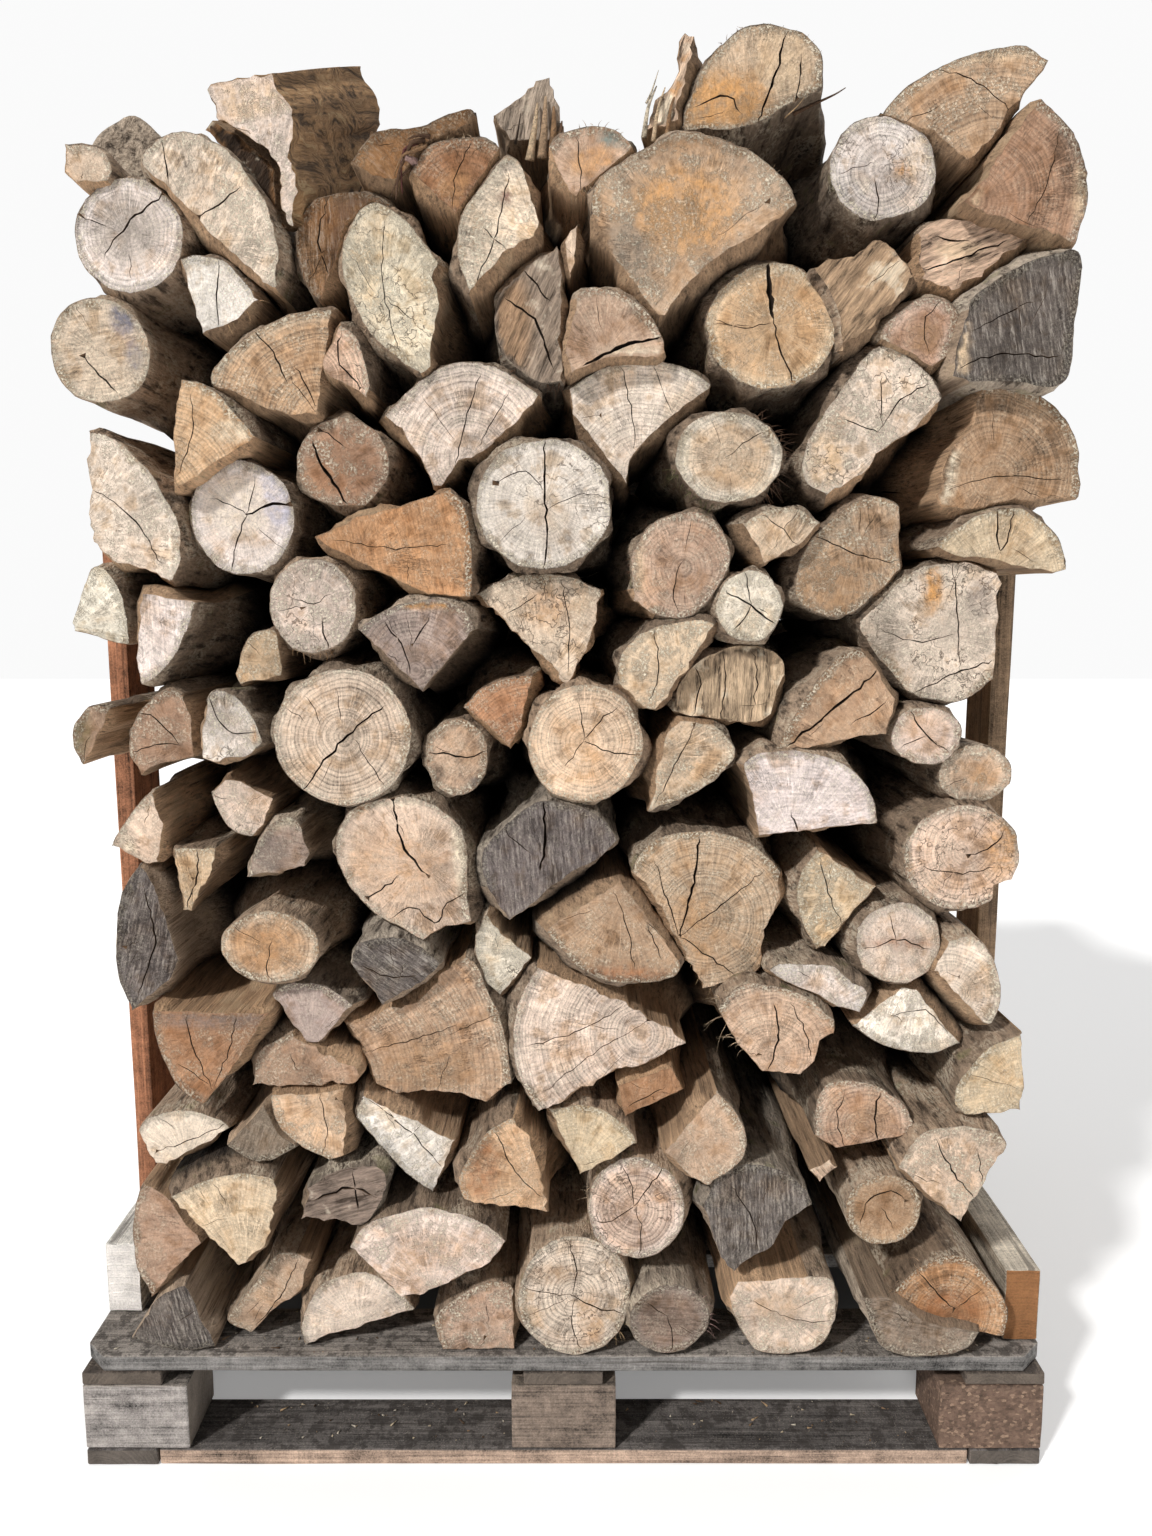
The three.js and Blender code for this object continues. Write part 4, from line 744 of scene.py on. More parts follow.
def straight(a, b, step):
    """Points from a towards b, without b."""
    a, b = np.asarray(a, float), np.asarray(b, float)
    count = max(1, round(float(np.linalg.norm(b - a)) / step))
    return a + (b - a) * (np.arange(count) / count)[:, None]


def log_outline(log, step):
    """Points round the end of a log, and which of them are on its bark."""
    if "radii" in log:
        radius_x, radius_z = log["radii"]
        count = round(math.tau * (radius_x + radius_z) / 2 / step)
        angle = np.arange(count) / count * math.tau
        points = np.stack([radius_x * np.cos(angle), radius_z * np.sin(angle)], axis=1) + log["centre"]
        return points, np.ones(count, bool)
    corners = log["corners"]
    sides = [straight(a, b, step) for a, b in zip(corners, corners[1:])]
    if log["bark"]:
        bark = curve_through([corners[-1], *log["bark"], corners[0]], step)[:-1]
    else:
        bark = straight(corners[-1], corners[0], step)
    points = np.concatenate([*sides, bark])
    on_bark = np.zeros(len(points), bool)
    if log["bark"]:
        on_bark[-len(bark):] = True
    return points, on_bark


def signed_area(points):
    x, z = points[:, 0], points[:, 1]
    return float(np.sum(x * np.roll(z, -1) - z * np.roll(x, -1))) / 2


def circle_centre(a, b, c):
    """Centre of the circle through three points, or None where they are nearly in line."""
    (ax, az), (bx, bz), (cx, cz) = a, b, c
    d = 2 * (ax * (bz - cz) + bx * (cz - az) + cx * (az - bz))
    if abs(d) < 1.0:
        return None
    a2, b2, c2 = ax * ax + az * az, bx * bx + bz * bz, cx * cx + cz * cz
    x = (a2 * (bz - cz) + b2 * (cz - az) + c2 * (az - bz)) / d
    z = (a2 * (cx - bx) + b2 * (ax - cx) + c2 * (bx - ax)) / d
    return np.array([x, z])


def pith_of(log):
    """Where the middle of the tree was."""
    if "radii" in log:
        return np.array(log["centre"], float)
    corners = np.array(log["corners"], float)
    middle = corners.mean(axis=0)
    if not log["bark"]:
        return middle + (0.0, -FARTHEST_PITH / 2)
    bark = curve_through([log["corners"][-1], *log["bark"], log["corners"][0]], RIM_STEP)
    centre = circle_centre(bark[0], bark[len(bark) // 2], bark[-1])
    if centre is None or np.linalg.norm(centre - middle) > FARTHEST_PITH:
        away = middle - bark[len(bark) // 2]
        centre = middle + away / np.linalg.norm(away) * FARTHEST_PITH / 2
    return centre


def distance_to(points, line):
    """Distance from each point to the nearest point of a dense line."""
    nearest = np.full(len(points), np.inf)
    for part in np.array_split(line, max(1, len(line) // 40)):
        gap = np.linalg.norm(points[:, None, :] - part[None, :, :], axis=2).min(axis=1)
        nearest = np.minimum(nearest, gap)
    return nearest


def inside(points, outline):
    """Which points are inside a closed outline."""
    x, z = points[:, 0:1], points[:, 1:2]
    ax, az = outline[:, 0], outline[:, 1]
    bx, bz = np.roll(ax, -1), np.roll(az, -1)
    crosses = (az > z) != (bz > z)
    with np.errstate(divide="ignore", invalid="ignore"):
        at = (bx - ax) * (z - az) / (bz - az) + ax
    return (crosses & (x < at)).sum(axis=1) % 2 == 1


def outward(points):
    """The outward direction at each point of a counter-clockwise outline."""
    along = np.roll(points, -1, axis=0) - np.roll(points, 1, axis=0)
    along /= np.maximum(np.linalg.norm(along, axis=1), 1e-6)[:, None]
    return np.stack([along[:, 1], -along[:, 0]], axis=1)


def at_depth(points, depth):
    """Points of X and Z as points of X, depth and Z."""
    return np.stack([points[:, 0], np.broadcast_to(depth, len(points)), points[:, 1]], axis=1)


def smoothed(points, on_bark):
    """Evens out the bark, and leaves split corners sharp."""
    even = (np.roll(points, 1, axis=0) + 2 * points + np.roll(points, -1, axis=0)) / 4
    return np.where(on_bark[:, None], even, points)


def roughened(points, on_bark, seed, name):
    """Gives an outline the waves and nicks of hand-split wood."""
    here = at_depth(points, 0.0)
    nicks = layered(here, NICKS, seed)
    share = RAGGED_SHARE if name in RAGGED else PLAIN_SHARE
    split_edge = nicks + share * (layered(here, TEARS, seed) + MEAN_TEAR)
    relief = layered(here, WAVES, seed) + MEAN_WAVE + np.where(on_bark, BARK_NICKS * nicks, split_edge)
    if name in STRAIGHT_EDGED:
        relief *= STRAIGHT_EDGE_SHARE
    return points + outward(points) * relief[:, None]


def end_of(log, row, index):
    """The depths of a log's outer and inner ends, and the move from the table's plane to its outer end."""
    outer = round(STAGGER * math.sin(STAGGER_TURN * index))
    inner = ROW_LENGTH + round(INNER_STAGGER * math.sin(INNER_STAGGER_TURN * index))
    if row == "back":
        return DEPTH + outer, DEPTH - inner, lambda p: np.array([-p[0], p[1]], float)
    outer = outer if log["y"] is None else log["y"]
    inner = log["back"] or inner
    scale = (outer - EYE[1]) / -EYE[1]
    return outer, inner, lambda p: np.array([EYE[0] + (p[0] - EYE[0]) * scale,
                                             EYE[2] + (p[1] - EYE[2]) * scale])


def placed_outline(log, move, seed):
    """The rough outline of a log's outer end where it stands, and which of its points are on bark."""
    outline, on_bark = log_outline(log, RIM_STEP)
    outline = np.array([move(p) for p in outline])
    if signed_area(outline) < 0:
        outline, on_bark = outline[::-1], np.roll(on_bark[::-1], -1)
    outline = roughened(smoothed(outline, on_bark), on_bark, seed, log["name"])
    if log["name"] in BARKED_SIDES:
        on_bark = np.ones(len(outline), bool)
    return outline, on_bark


# What lies round a log

# The steps away from a log at which another one shelters it, and how much
SHELTER_STEPS = ((12, 1.0), (30, 0.95), (60, 0.85), (100, 0.65), (150, 0.45), (210, 0.25))

# Between two logs both thicken out of sight: at once where the gap is narrow, further in where it is wide
NARROW_GAP = 40
WIDEST_GAP = 124
GAP_STEP = 4
NARROW_START, NARROW_SLOPE = 4.0, 0.6
WIDE_START, WIDE_SLOPE = 100.0, 0.5
OVERLAP = 1.5
EASE = 3.0
EASE_ROUNDS = 4
FAR_END_SHARE = 0.1

# How much painted shade a side gets, from and to which depth between others, and from and to which swelling
INNER_PAINTED_SHADE, INNER_DEPTHS = 0.5, (70.0, 360.0)
CLOSED_PAINTED_SHADE, CLOSED_SWELLS = 0.9, (6.0, 18.0)


def nearby(points, reach, neighbours):
    """The neighbours' outlines that are within reach of the points."""
    low, high = points.min(axis=0) - reach, points.max(axis=0) + reach
    return [other for other in neighbours
            if (other.max(axis=0) > low).all() and (other.min(axis=0) < high).all()]


def shelter_of(points, out, neighbours):
    """How closed in each point of an outline is: 1 against another log, 0 where none is near."""
    near = nearby(points, SHELTER_STEPS[-1][0], neighbours)
    result = np.zeros(len(points))
    for step, share in SHELTER_STEPS:
        probe = points + out * step
        hit = np.zeros(len(points), bool)
        for other in near:
            hit |= inside(probe, other)
        result = np.maximum(result, hit * share)
    return result


def gap_to_next(points, out, neighbours):
    """The free way from each point of an outline to the next log."""
    near = nearby(points, WIDEST_GAP, neighbours)
    gap = np.full(len(points), np.inf)
    for step in range(WIDEST_GAP, 0, -GAP_STEP):
        probe = points + out * step
        for other in near:
            gap[inside(probe, other)] = step
    return gap


def swelling(gap, widest):
    """How far each point swells to meet the next log half way, eased along the outline."""
    swell = np.where(gap <= widest, gap / 2 + OVERLAP, 0.0)
    for _ in range(EASE_ROUNDS):
        swell = np.minimum(swell, np.roll(swell, 1) + EASE)
        swell = np.minimum(swell, np.roll(swell, -1) + EASE)
    return swell


def swell_at(narrow, wide, depth, length):
    """The swelling at a depth behind the end. It is gone again at the other end."""
    near = np.minimum(narrow, NARROW_SLOPE * max(0.0, depth - NARROW_START))
    far = np.minimum(wide, WIDE_SLOPE * max(0.0, depth - WIDE_START))
    return np.maximum(near, far) * min(1.0, max(0.0, (length - depth) / (FAR_END_SHARE * length)))


def smooth_share(value, low, high):
    part = np.clip((value - low) / (high - low), 0.0, 1.0)
    return part * part * (3 - 2 * part)


def painted_shade_of(shelter, swell, depth):
    """How much painted shade a log's side gets: more the deeper it is between others, and most where it
    swells to close a gap.
    """
    inner = INNER_PAINTED_SHADE * shelter * smooth_share(depth, *INNER_DEPTHS)
    closed = CLOSED_PAINTED_SHADE * smooth_share(swell, *CLOSED_SWELLS)
    return 1 - (1 - inner) * (1 - closed)


# Cracks in the sawn ends, in millimetres

DEEPEST_CRACK = 14.0
CRACK_WANDER = 0.9
CRACK_TIP = 0.25
CRACK_MARGIN = 1.5
CRACK_SPREAD = (0.7, 1.2)
DEPTH_OF_WIDTH = 4
FINE_CRACKS = (1, 4)
FINE_CRACK_WIDTHS = (0.5, 0.9)
FINE_CRACK_REACH = (0.15, 0.95)
SHORTEST_FINE_CRACK = 0.25
GRID_SHIFT = 0.28
RIM_CLEARANCE = 0.5
CRACK_CLEARANCE = 0.55


def crack_lines(path, width, rng):
    """Left edge, bottom and right edge of a crack, wandering along its path."""
    line = curve_through(path, CRACK_STEP)
    along = np.gradient(line, axis=0)
    along /= np.linalg.norm(along, axis=1)[:, None]
    across = np.stack([-along[:, 1], along[:, 0]], axis=1)
    line = line + across * rng.normal(0, CRACK_WANDER, len(line))[:, None]
    share = np.linspace(0, 1, len(line))
    opened = 0.25 + 0.75 * np.sin(math.pi * (0.15 + 0.75 * (1 - share)))
    half = width / 2 * opened * rng.uniform(*CRACK_SPREAD, len(line))
    half[-1] = CRACK_TIP
    return line + across * half[:, None], line, line - across * half[:, None]


def cracks_of(stick):
    """The cracks that are listed for the log, and fine ones that run from the pith."""
    rng, outline = stick.rng, stick.outline
    paths = [(crack_lines([stick.move(p) for p in path], width, rng), width)
             for path, width in CRACKS.get(stick.name, [])]
    for _ in range(rng.integers(*FINE_CRACKS)):
        target = outline[rng.integers(len(outline))]
        start = stick.pith if inside(stick.pith[None, :], outline)[0] else stick.middle
        a, b = sorted(rng.uniform(*FINE_CRACK_REACH, 2))
        if b - a > SHORTEST_FINE_CRACK:
            width = rng.uniform(*FINE_CRACK_WIDTHS)
            path = [start + (target - start) * t for t in (b, (a + b) / 2, a)]
            paths.append((crack_lines(path, width, rng), width))
    return paths


def face_grid(outline, step, rng):
    """Slightly shifted grid points inside an outline, clear of its rim."""
    low, high = outline.min(axis=0), outline.max(axis=0)
    columns, rows = np.arange(low[0], high[0], step), np.arange(low[1], high[1], step)
    grid = np.stack(np.meshgrid(columns, rows), axis=-1)
    grid = grid.reshape(-1, 2) + rng.uniform(-GRID_SHIFT, GRID_SHIFT, (grid.size // 2, 2)) * step
    grid = grid[inside(grid, outline)]
    return grid[distance_to(grid, outline) > step * RIM_CLEARANCE]


def end_face(outline, step, cracks, rng):
    """A triangulated end: its points, its triangles, and each point's depth in a crack and own number."""
    grid = face_grid(outline, step, rng)
    count = len(outline)
    points, depth = [outline], [np.zeros(count)]
    edges = [(i, (i + 1) % count) for i in range(count)]
    for (left, bottom, right), width in cracks:
        clear = distance_to(bottom, outline) > CRACK_MARGIN
        keep = clear & inside(left, outline) & inside(right, outline)
        if keep.sum() < 3:
            continue
        grid = grid[distance_to(grid, bottom[keep]) > step * CRACK_CLEARANCE]
        n = int(keep.sum())
        first = count
        taper = np.sin(math.pi * np.linspace(0.12, 0.95, n))
        deepest = min(DEEPEST_CRACK, DEPTH_OF_WIDTH * width)
        for line, level in ((left, 0.0), (bottom, deepest), (right, 0.0)):
            points.append(line[keep])
            depth.append(level * taper)
            edges += [(count + i, count + i + 1) for i in range(n - 1)]
            count += n
        edges += [(first, first + n), (first + n, first + 2 * n)]
        edges += [(first + n - 1, first + 2 * n - 1), (first + 2 * n - 1, first + 3 * n - 1)]
    points.append(grid)
    depth.append(np.zeros(len(grid)))
    points, depth = np.concatenate(points), np.concatenate(depth)
    flat = [Vector(p) for p in points]
    out, _, faces, origins, _, _ = geometry.delaunay_2d_cdt(flat, edges, [], 1, 1e-4)
    source = np.array([o[0] if o else -1 for o in origins])
    level = np.where(source >= 0, depth[source], 0.0)
    return np.array([tuple(p) for p in out]), faces, level, source


# Meshes of the logs

END, SIDE, BARK, CRACK, TORN, KNOTTY = range(6)

# The relief of bark and of split faces along the log, and of its ends
BARK_RELIEF = ((1.6, (11, 55, 11), 0), (1.6, (40, 120, 40), 1))
FIBRE_RELIEF = ((0.9, (8, 150, 8), 2), (1.8, (34, 210, 34), 3))
END_RELIEF = ((1.1, 38, 7), (0.35, 9, 8))
BARK_DEPTH = 1.2
FIBRE_DEPTH = 1.6
TORN_STRANDS = ((5.0, (9, 1, 60), 9),)
TORN_LUMPS = ((4.0, 24, 10),)

BACK_ROW_SEED = 200
INNER_END_SEED = 5
END_TILT = 0.09
LARGEST_BOW = 2.0
FAR_BARK = 400.0
CHIPS = (0.2, 1.6)
RIM_RELIEF, RELIEF_RISE = 0.55, 0.45
RELIEF_GROWTH = 12
MARK_EDGE, MARK_FADE = 1.35, 0.6
NO_STAIN = [0.0] * 4
LEVEL = np.zeros(2)


def side_relief(points, depth, on_bark, seed):
    """How far the side of a log stands out: ridged bark, or the fibres of a split face."""
    here = at_depth(points, depth)
    bark = layered(here, BARK_RELIEF, seed)
    fibre = layered(here, FIBRE_RELIEF, seed)
    return np.where(on_bark, bark - BARK_DEPTH, fibre - FIBRE_DEPTH)


def stains_at(points, marks):
    """The colour of the nearest mark at each point of an end, and its strength there."""
    stain = np.zeros((len(points), 4))
    nearest = np.full(len(points), np.inf)
    for (x, z), (wide, high), colour, strength in marks:
        off = np.hypot((points[:, 0] - x) / wide, (points[:, 1] - z) / high)
        closer = off < nearest
        nearest[closer] = off[closer]
        stain[closer] = (*linear(SHADES[colour])[:3], 0.0)
        stain[closer, 3] = strength * np.clip((MARK_EDGE - off[closer]) / MARK_FADE, 0, 1)
    return stain


class Pieces:
    """Gathers the points, faces and values of one mesh."""

    def __init__(self):
        self.points, self.faces, self.kinds, self.values = [], [], [], {}
        self.count = 0

    def add_points(self, points, **values):
        """Adds points with their values, and returns the number of the first."""
        first = self.count
        self.points.append(points)
        self.count += len(points)
        for name, value in values.items():
            value = np.asarray(value, float)
            rows = np.broadcast_to(value, (len(points), value.shape[-1]))
            self.values.setdefault(name, []).append(rows)
        return first

    def add_faces(self, faces, kind):
        self.faces += faces
        self.kinds += [kind] * len(faces)


def place_of(points, pith, end):
    """Places relative to the pith, with the depth from the log's end, in metres."""
    return (points - (pith[0], end, pith[1])) * MM


def reach_of(flat, bark_line, outline, depth):
    """Distance from the bark, distance from the rim, and depth in a crack, in metres."""
    bark = distance_to(flat, bark_line)
    rim = np.zeros(len(flat)) if outline is flat else distance_to(flat, outline)
    return np.stack([bark, rim, np.broadcast_to(depth, len(flat))], axis=1) * MM


def side_quad(a, b, i, n, toward):
    """The quad between two rings of n points, from their point i to the next."""
    j = (i + 1) % n
    return (a + i, b + i, b + j, a + j) if toward > 0 else (a + i, a + j, b + j, b + i)


def random_habit(rng, name, listed, strong, weak):
    """A random value, from the strong range for the logs listed and from the weak one for the rest."""
    return rng.uniform(*(strong if name in listed else weak))


def look_values(log, rng, seed):
    """The colours and habits of one log, with small differences of its own."""
    name = log["name"]
    colour, grey = TONES[log["tone"]]
    light = rng.uniform(0.97, 1.03)
    warm = np.array([1.0, rng.uniform(0.985, 1.01), rng.uniform(0.97, 1.03)])
    tone = linear(np.clip(np.array(colour) * light * warm, 0, 255))
    side = linear(np.array(mixed(SIDE_TAN, SIDE_GREY, grey)) * rng.uniform(0.85, 1.1))
    bark = linear(np.array(mixed(BARK_BROWN, BARK_GREY, grey)) * rng.uniform(0.8, 1.15))
    rings = random_habit(rng, name, RINGED, (0.75, 1.0), (0.1, 0.45))
    saw = random_habit(rng, name, SAWN, (0.8, 1.0), (0.1, 0.5))
    worms = random_habit(rng, name, WORMED, (0.8, 1.0), (0.0, 0.35))
    speckle = random_habit(rng, name, SPECKLED, (0.8, 1.0), (0.15, 0.5))
    turn = rng.uniform(0, math.tau)
    if name in TORN_ENDS:
        turn = math.radians(TORN_ENDS[name] + 90)
    elif name in SAW_DIRECTIONS:
        turn = math.radians(SAW_DIRECTIONS[name])
    heart = random_habit(rng, name, HEARTED, (0.5, 0.85), (0.0, 0.25))
    return {"tone": tone, "side": side, "bark": bark, "seed": [seed * 3.7], "habit": [rings, saw, worms],
            "saw_turn": [math.cos(turn), speckle, math.sin(turn)], "heart": [heart]}


def far_bark(middle):
    """A point far from the wood, for logs and boards without bark."""
    return middle[None, :] + FAR_BARK


def stick_of(log, row, index):
    """All that one log is built from: its outline, ends, directions and looks."""
    stick = SimpleNamespace(name=log["name"], seed=index + BACK_ROW_SEED * (row == "back"))
    stick.rng = np.random.default_rng(1000 * (row == "back") + index)
    stick.outer, stick.inner, stick.move = end_of(log, row, index)
    stick.outline, stick.on_bark = placed_outline(log, stick.move, stick.seed)
    stick.out = outward(stick.outline)
    stick.middle = stick.outline.mean(axis=0)
    stick.pith = stick.move(pith_of(log))
    stick.toward = 1 if stick.inner > stick.outer else -1
    stick.lean = np.array(log["lean"], float)
    stick.tilt = stick.rng.uniform(-END_TILT, END_TILT, 2)
    stick.bow = stick.rng.uniform(-LARGEST_BOW, LARGEST_BOW, 2)
    stick.bark_line = stick.outline[stick.on_bark] if stick.on_bark.any() else far_bark(stick.middle)
    stick.shared = look_values(log, stick.rng, stick.seed)
    return stick


def add_sides(pieces, stick, neighbours):
    """Adds the rings of points along a log, and its bark and split faces between them."""
    n = len(stick.outline)
    length = abs(stick.inner - stick.outer)
    shelter = shelter_of(stick.outline, stick.out, neighbours)
    gap = gap_to_next(stick.outline, stick.out, neighbours)
    narrow, wide = swelling(gap, NARROW_GAP), swelling(gap, WIDEST_GAP)
    rings = []
    for share in RING_DEPTHS:
        depth = stick.outer + (stick.inner - stick.outer) * share
        behind = abs(depth - stick.outer)
        relief = side_relief(stick.outline, depth, stick.on_bark, stick.seed)
        relief = relief * (RIM_RELIEF + RELIEF_RISE * min(1.0, share * RELIEF_GROWTH))
        chip = stick.rng.uniform(*CHIPS, n) if share in (0.0, 1.0) else 0.0
        swell = swell_at(narrow, wide, behind, length)
        flat = stick.outline + stick.out * (relief - chip + swell)[:, None]
        flat = flat + stick.bow * math.sin(math.pi * share) + stick.lean * share
        slope = (flat - stick.middle) @ stick.tilt * (1 - share) ** 3
        ring = at_depth(flat, depth + slope)
        # Each ring carries the painted shade of its side: deeper between other logs, and where it swells
        first = pieces.add_points(ring, place=place_of(ring, stick.pith, stick.outer),
                                  reach=reach_of(flat, stick.bark_line, flat, 0.0),
                                  shelter=painted_shade_of(shelter, swell, behind)[:, None],
                                  stain=NO_STAIN, **stick.shared)
        rings.append((first, flat))
    split_kind = KNOTTY if stick.name in KNOTTY_SIDES else SIDE
    for (a, _), (b, _) in zip(rings, rings[1:]):
        for kind in (split_kind, BARK):
            chosen = [i for i in range(n) if stick.on_bark[i] == (kind == BARK)]
            pieces.add_faces([side_quad(a, b, i, n, stick.toward) for i in chosen], kind)
    return rings


def fibre_places(points, saw_turn):
    """Places on a torn end: across its fibres, then along them."""
    turn_x, _, turn_z = saw_turn
    across = points[:, 0] * turn_x + points[:, 1] * turn_z
    along = points[:, 1] * turn_x - points[:, 0] * turn_z
    return np.stack([across, np.zeros(len(points)), along], axis=1)


def add_end(pieces, stick, ring, end, toward, step, seed, tilt=LEVEL, cracks=(), kind=END, marks=()):
    """Closes an end of a log or board, with its cracks and marks."""
    first, outline = ring
    points, faces, level, source = end_face(outline, step, cracks, stick.rng)
    here = at_depth(points, end)
    relief = layered(here, END_RELIEF, seed)
    if kind != END:
        turned = fibre_places(points, stick.shared["saw_turn"])
        relief += layered(turned, TORN_STRANDS, seed) + layered(here, TORN_LUMPS, seed)
    depth = end + (points - stick.middle) @ tilt + toward * (level + relief)
    body = at_depth(points, depth)
    own = np.array([not 0 <= number < len(outline) for number in source])
    index = np.where(own, 0, source + first)
    start = pieces.add_points(body[own], place=place_of(body[own], stick.pith, stick.outer),
                              reach=reach_of(points[own], stick.bark_line, outline, level[own]),
                              shelter=[0.0], stain=stains_at(points[own], marks), **stick.shared)
    index[own] = start + np.arange(own.sum())
    for face in faces:
        corners = [int(index[i]) for i in face]
        own_kind = CRACK if max(level[i] for i in face) > 0 else kind
        pieces.add_faces([tuple(corners if toward > 0 else corners[::-1])], own_kind)


def add_strand(pieces, path, radius, shared, colour, origin):
    """A thin tapering strand along a path of X, depth and Z."""
    path = np.asarray(path, float)
    along = np.gradient(path, axis=0)
    along /= np.linalg.norm(along, axis=1)[:, None]
    aside = np.cross(along, (0.0, 0.0, 1.0) if abs(along[0, 2]) < 0.8 else (0.0, 1.0, 0.0))
    aside /= np.linalg.norm(aside, axis=1)[:, None]
    up = np.cross(along, aside)
    sides = 5 if radius > THIN_STRAND else 3
    angles = np.arange(sides) / sides * math.tau
    look = {**shared, "side": linear(colour)}
    values = {"reach": [1.0, 1.0, 0.0], "shelter": [0.0], "stain": NO_STAIN}
    starts = []
    for i, middle in enumerate(path):
        size = radius * (1.0 - STRAND_TAPER * i / (len(path) - 1))
        ring = middle + size * (np.cos(angles)[:, None] * aside[i] + np.sin(angles)[:, None] * up[i])
        starts.append(pieces.add_points(ring, place=(ring - origin) * MM, **values, **look))
    for a, b in zip(starts, starts[1:]):
        pieces.add_faces([side_quad(a, b, i, sides, -1) for i in range(sides)], SIDE)
    pieces.add_faces([tuple(starts[0] + i for i in reversed(range(sides)))], SIDE)
    pieces.add_faces([tuple(starts[-1] + i for i in range(sides))], SIDE)


def add_fibres(pieces, stick):
    """The frayed fibres and torn strands of a log's outer end."""
    rng, toward = stick.rng, stick.toward
    origin = np.array([stick.middle[0], stick.outer, stick.middle[1]])
    aside, above = (stick.outline - stick.middle).T
    angle = np.degrees(np.arctan2(above, aside * toward))
    for low, high, count, length, colour in FRAYED.get(stick.name, []):
        chosen = np.flatnonzero(((angle - low) % 360) < high - low)
        for i in rng.choice(chosen, count):
            out_x, out_z = stick.out[i]
            way = np.array([out_x, toward * rng.uniform(-0.7, 0.5), out_z]) + rng.normal(0, 0.5, 3)
            bend = np.array([rng.normal(0, 0.4), 0.0, -0.5])
            reach = length * rng.uniform(0.5, 1.2)
            x, z = stick.outline[i]
            start = np.array([x, stick.outer + toward * rng.uniform(0.5, 6.0), z])
            path = [start + way * reach * t + bend * reach * t * t for t in (0.0, 0.33, 0.66, 1.0)]
            shade = np.array(SHADES[colour]) * rng.uniform(0.7, 1.2)
            add_strand(pieces, path, FIBRE_RADIUS, stick.shared, shade, origin)
    if toward > 0:
        for path, radius, colour in STRANDS.get(stick.name, []):
            dense = curve_through(path, STRAND_STEP)
            add_strand(pieces, dense, radius, stick.shared, SHADES[colour], origin)


def add_log(pieces, log, row, index, neighbours):
    """Adds one log, with its bark, split faces, ends, cracks and loose fibres."""
    stick = stick_of(log, row, index)
    rings = add_sides(pieces, stick, neighbours)
    cracks = cracks_of(stick) if row == "front" else []
    step = FACE_STEP if row == "front" else BACK_FACE_STEP
    kind = BARK if stick.name in BARKED_ENDS else TORN if stick.name in TORN_ENDS else END
    marks = [(stick.move(place), *others) for place, *others in MARKS.get(stick.name, [])]
    add_end(pieces, stick, rings[0], stick.outer, stick.toward, step, stick.seed,
            tilt=stick.tilt, cracks=cracks, kind=kind, marks=marks)
    add_fibres(pieces, stick)
    add_end(pieces, stick, rings[-1], stick.inner, -stick.toward, HIDDEN_FACE_STEP,
            stick.seed + INNER_END_SEED)


VALUE_KINDS = {"place": "FLOAT_VECTOR", "reach": "FLOAT_VECTOR", "habit": "FLOAT_VECTOR",
               "saw_turn": "FLOAT_VECTOR", "tone": "FLOAT_COLOR", "side": "FLOAT_COLOR",
               "bark": "FLOAT_COLOR", "stain": "FLOAT_COLOR", "seed": "FLOAT", "shelter": "FLOAT",
               "heart": "FLOAT"}
FIELDS = {"FLOAT_VECTOR": "vector", "FLOAT_COLOR": "color", "FLOAT": "value"}


def make_object(name, pieces, materials):
    """One mesh object from gathered pieces, with its values as attributes."""
    points = np.concatenate(pieces.points)
    points = (points - (0, HALF_DEPTH, 0)) * MM
    mesh = bpy.data.meshes.new(name)
    mesh.from_pydata(points.tolist(), [], pieces.faces)
    for material in materials:
        mesh.materials.append(material)
    mesh.polygons.foreach_set("material_index", pieces.kinds)
    mesh.polygons.foreach_set("use_smooth", [True] * len(pieces.kinds))
    for value, rows in pieces.values.items():
        kind = VALUE_KINDS[value]
        attribute = mesh.attributes.new(value, kind, "POINT")
        attribute.data.foreach_set(FIELDS[kind], np.concatenate(rows).ravel())
    mark_sharp(mesh, pieces.kinds)
    mesh.update()
    made = bpy.data.objects.new(name, mesh)
    bpy.context.scene.collection.objects.link(made)
    return made


def mark_sharp(mesh, kinds):
    """Edges between a sawn end, a crack and a side are sharp."""
    corner_edges = np.zeros(len(mesh.loops), int)
    mesh.loops.foreach_get("edge_index", corner_edges)
    sizes = np.zeros(len(mesh.polygons), int)
    mesh.polygons.foreach_get("loop_total", sizes)
    group = np.array([{END: 0, TORN: 0, CRACK: 1}.get(kind, 2) for kind in kinds])
    per_corner = np.repeat(group, sizes)
    lowest = np.full(len(mesh.edges), group.max() + 1)
    highest = np.full(len(mesh.edges), -1)
    np.minimum.at(lowest, corner_edges, per_corner)
    np.maximum.at(highest, corner_edges, per_corner)
    sharp = mesh.attributes.new("sharp_edge", "BOOLEAN", "EDGE")
    sharp.data.foreach_set("value", lowest != highest)


def stand_in(node, pieces, materials):
    """Puts a mesh in the place of its node."""
    made = make_object(f"{node}_looks", pieces, materials)
    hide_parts(node)
    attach(made, "root")


# Materials

# Colours of wood, bark and dirt, and of the painted shade in cracks and between torn fibres
CREAM = linear((246, 234, 210))
DIRT = linear((92, 76, 62))
WEATHERED = linear((176, 168, 158))
SOOTY = linear((48, 43, 42))
DARK_FIBRE = linear((62, 46, 34))
PALE_FIBRE = linear((206, 182, 150))
FURROW = linear((50, 38, 29))
LICHEN = linear((192, 180, 160))
MOSS = linear((112, 112, 72))
TORN_SHADE = linear((60, 46, 36))
KNOT_DARK = linear((52, 38, 26))
KNOT_PALE = linear((188, 166, 128))
CRACK_EDGE = linear((86, 64, 44))
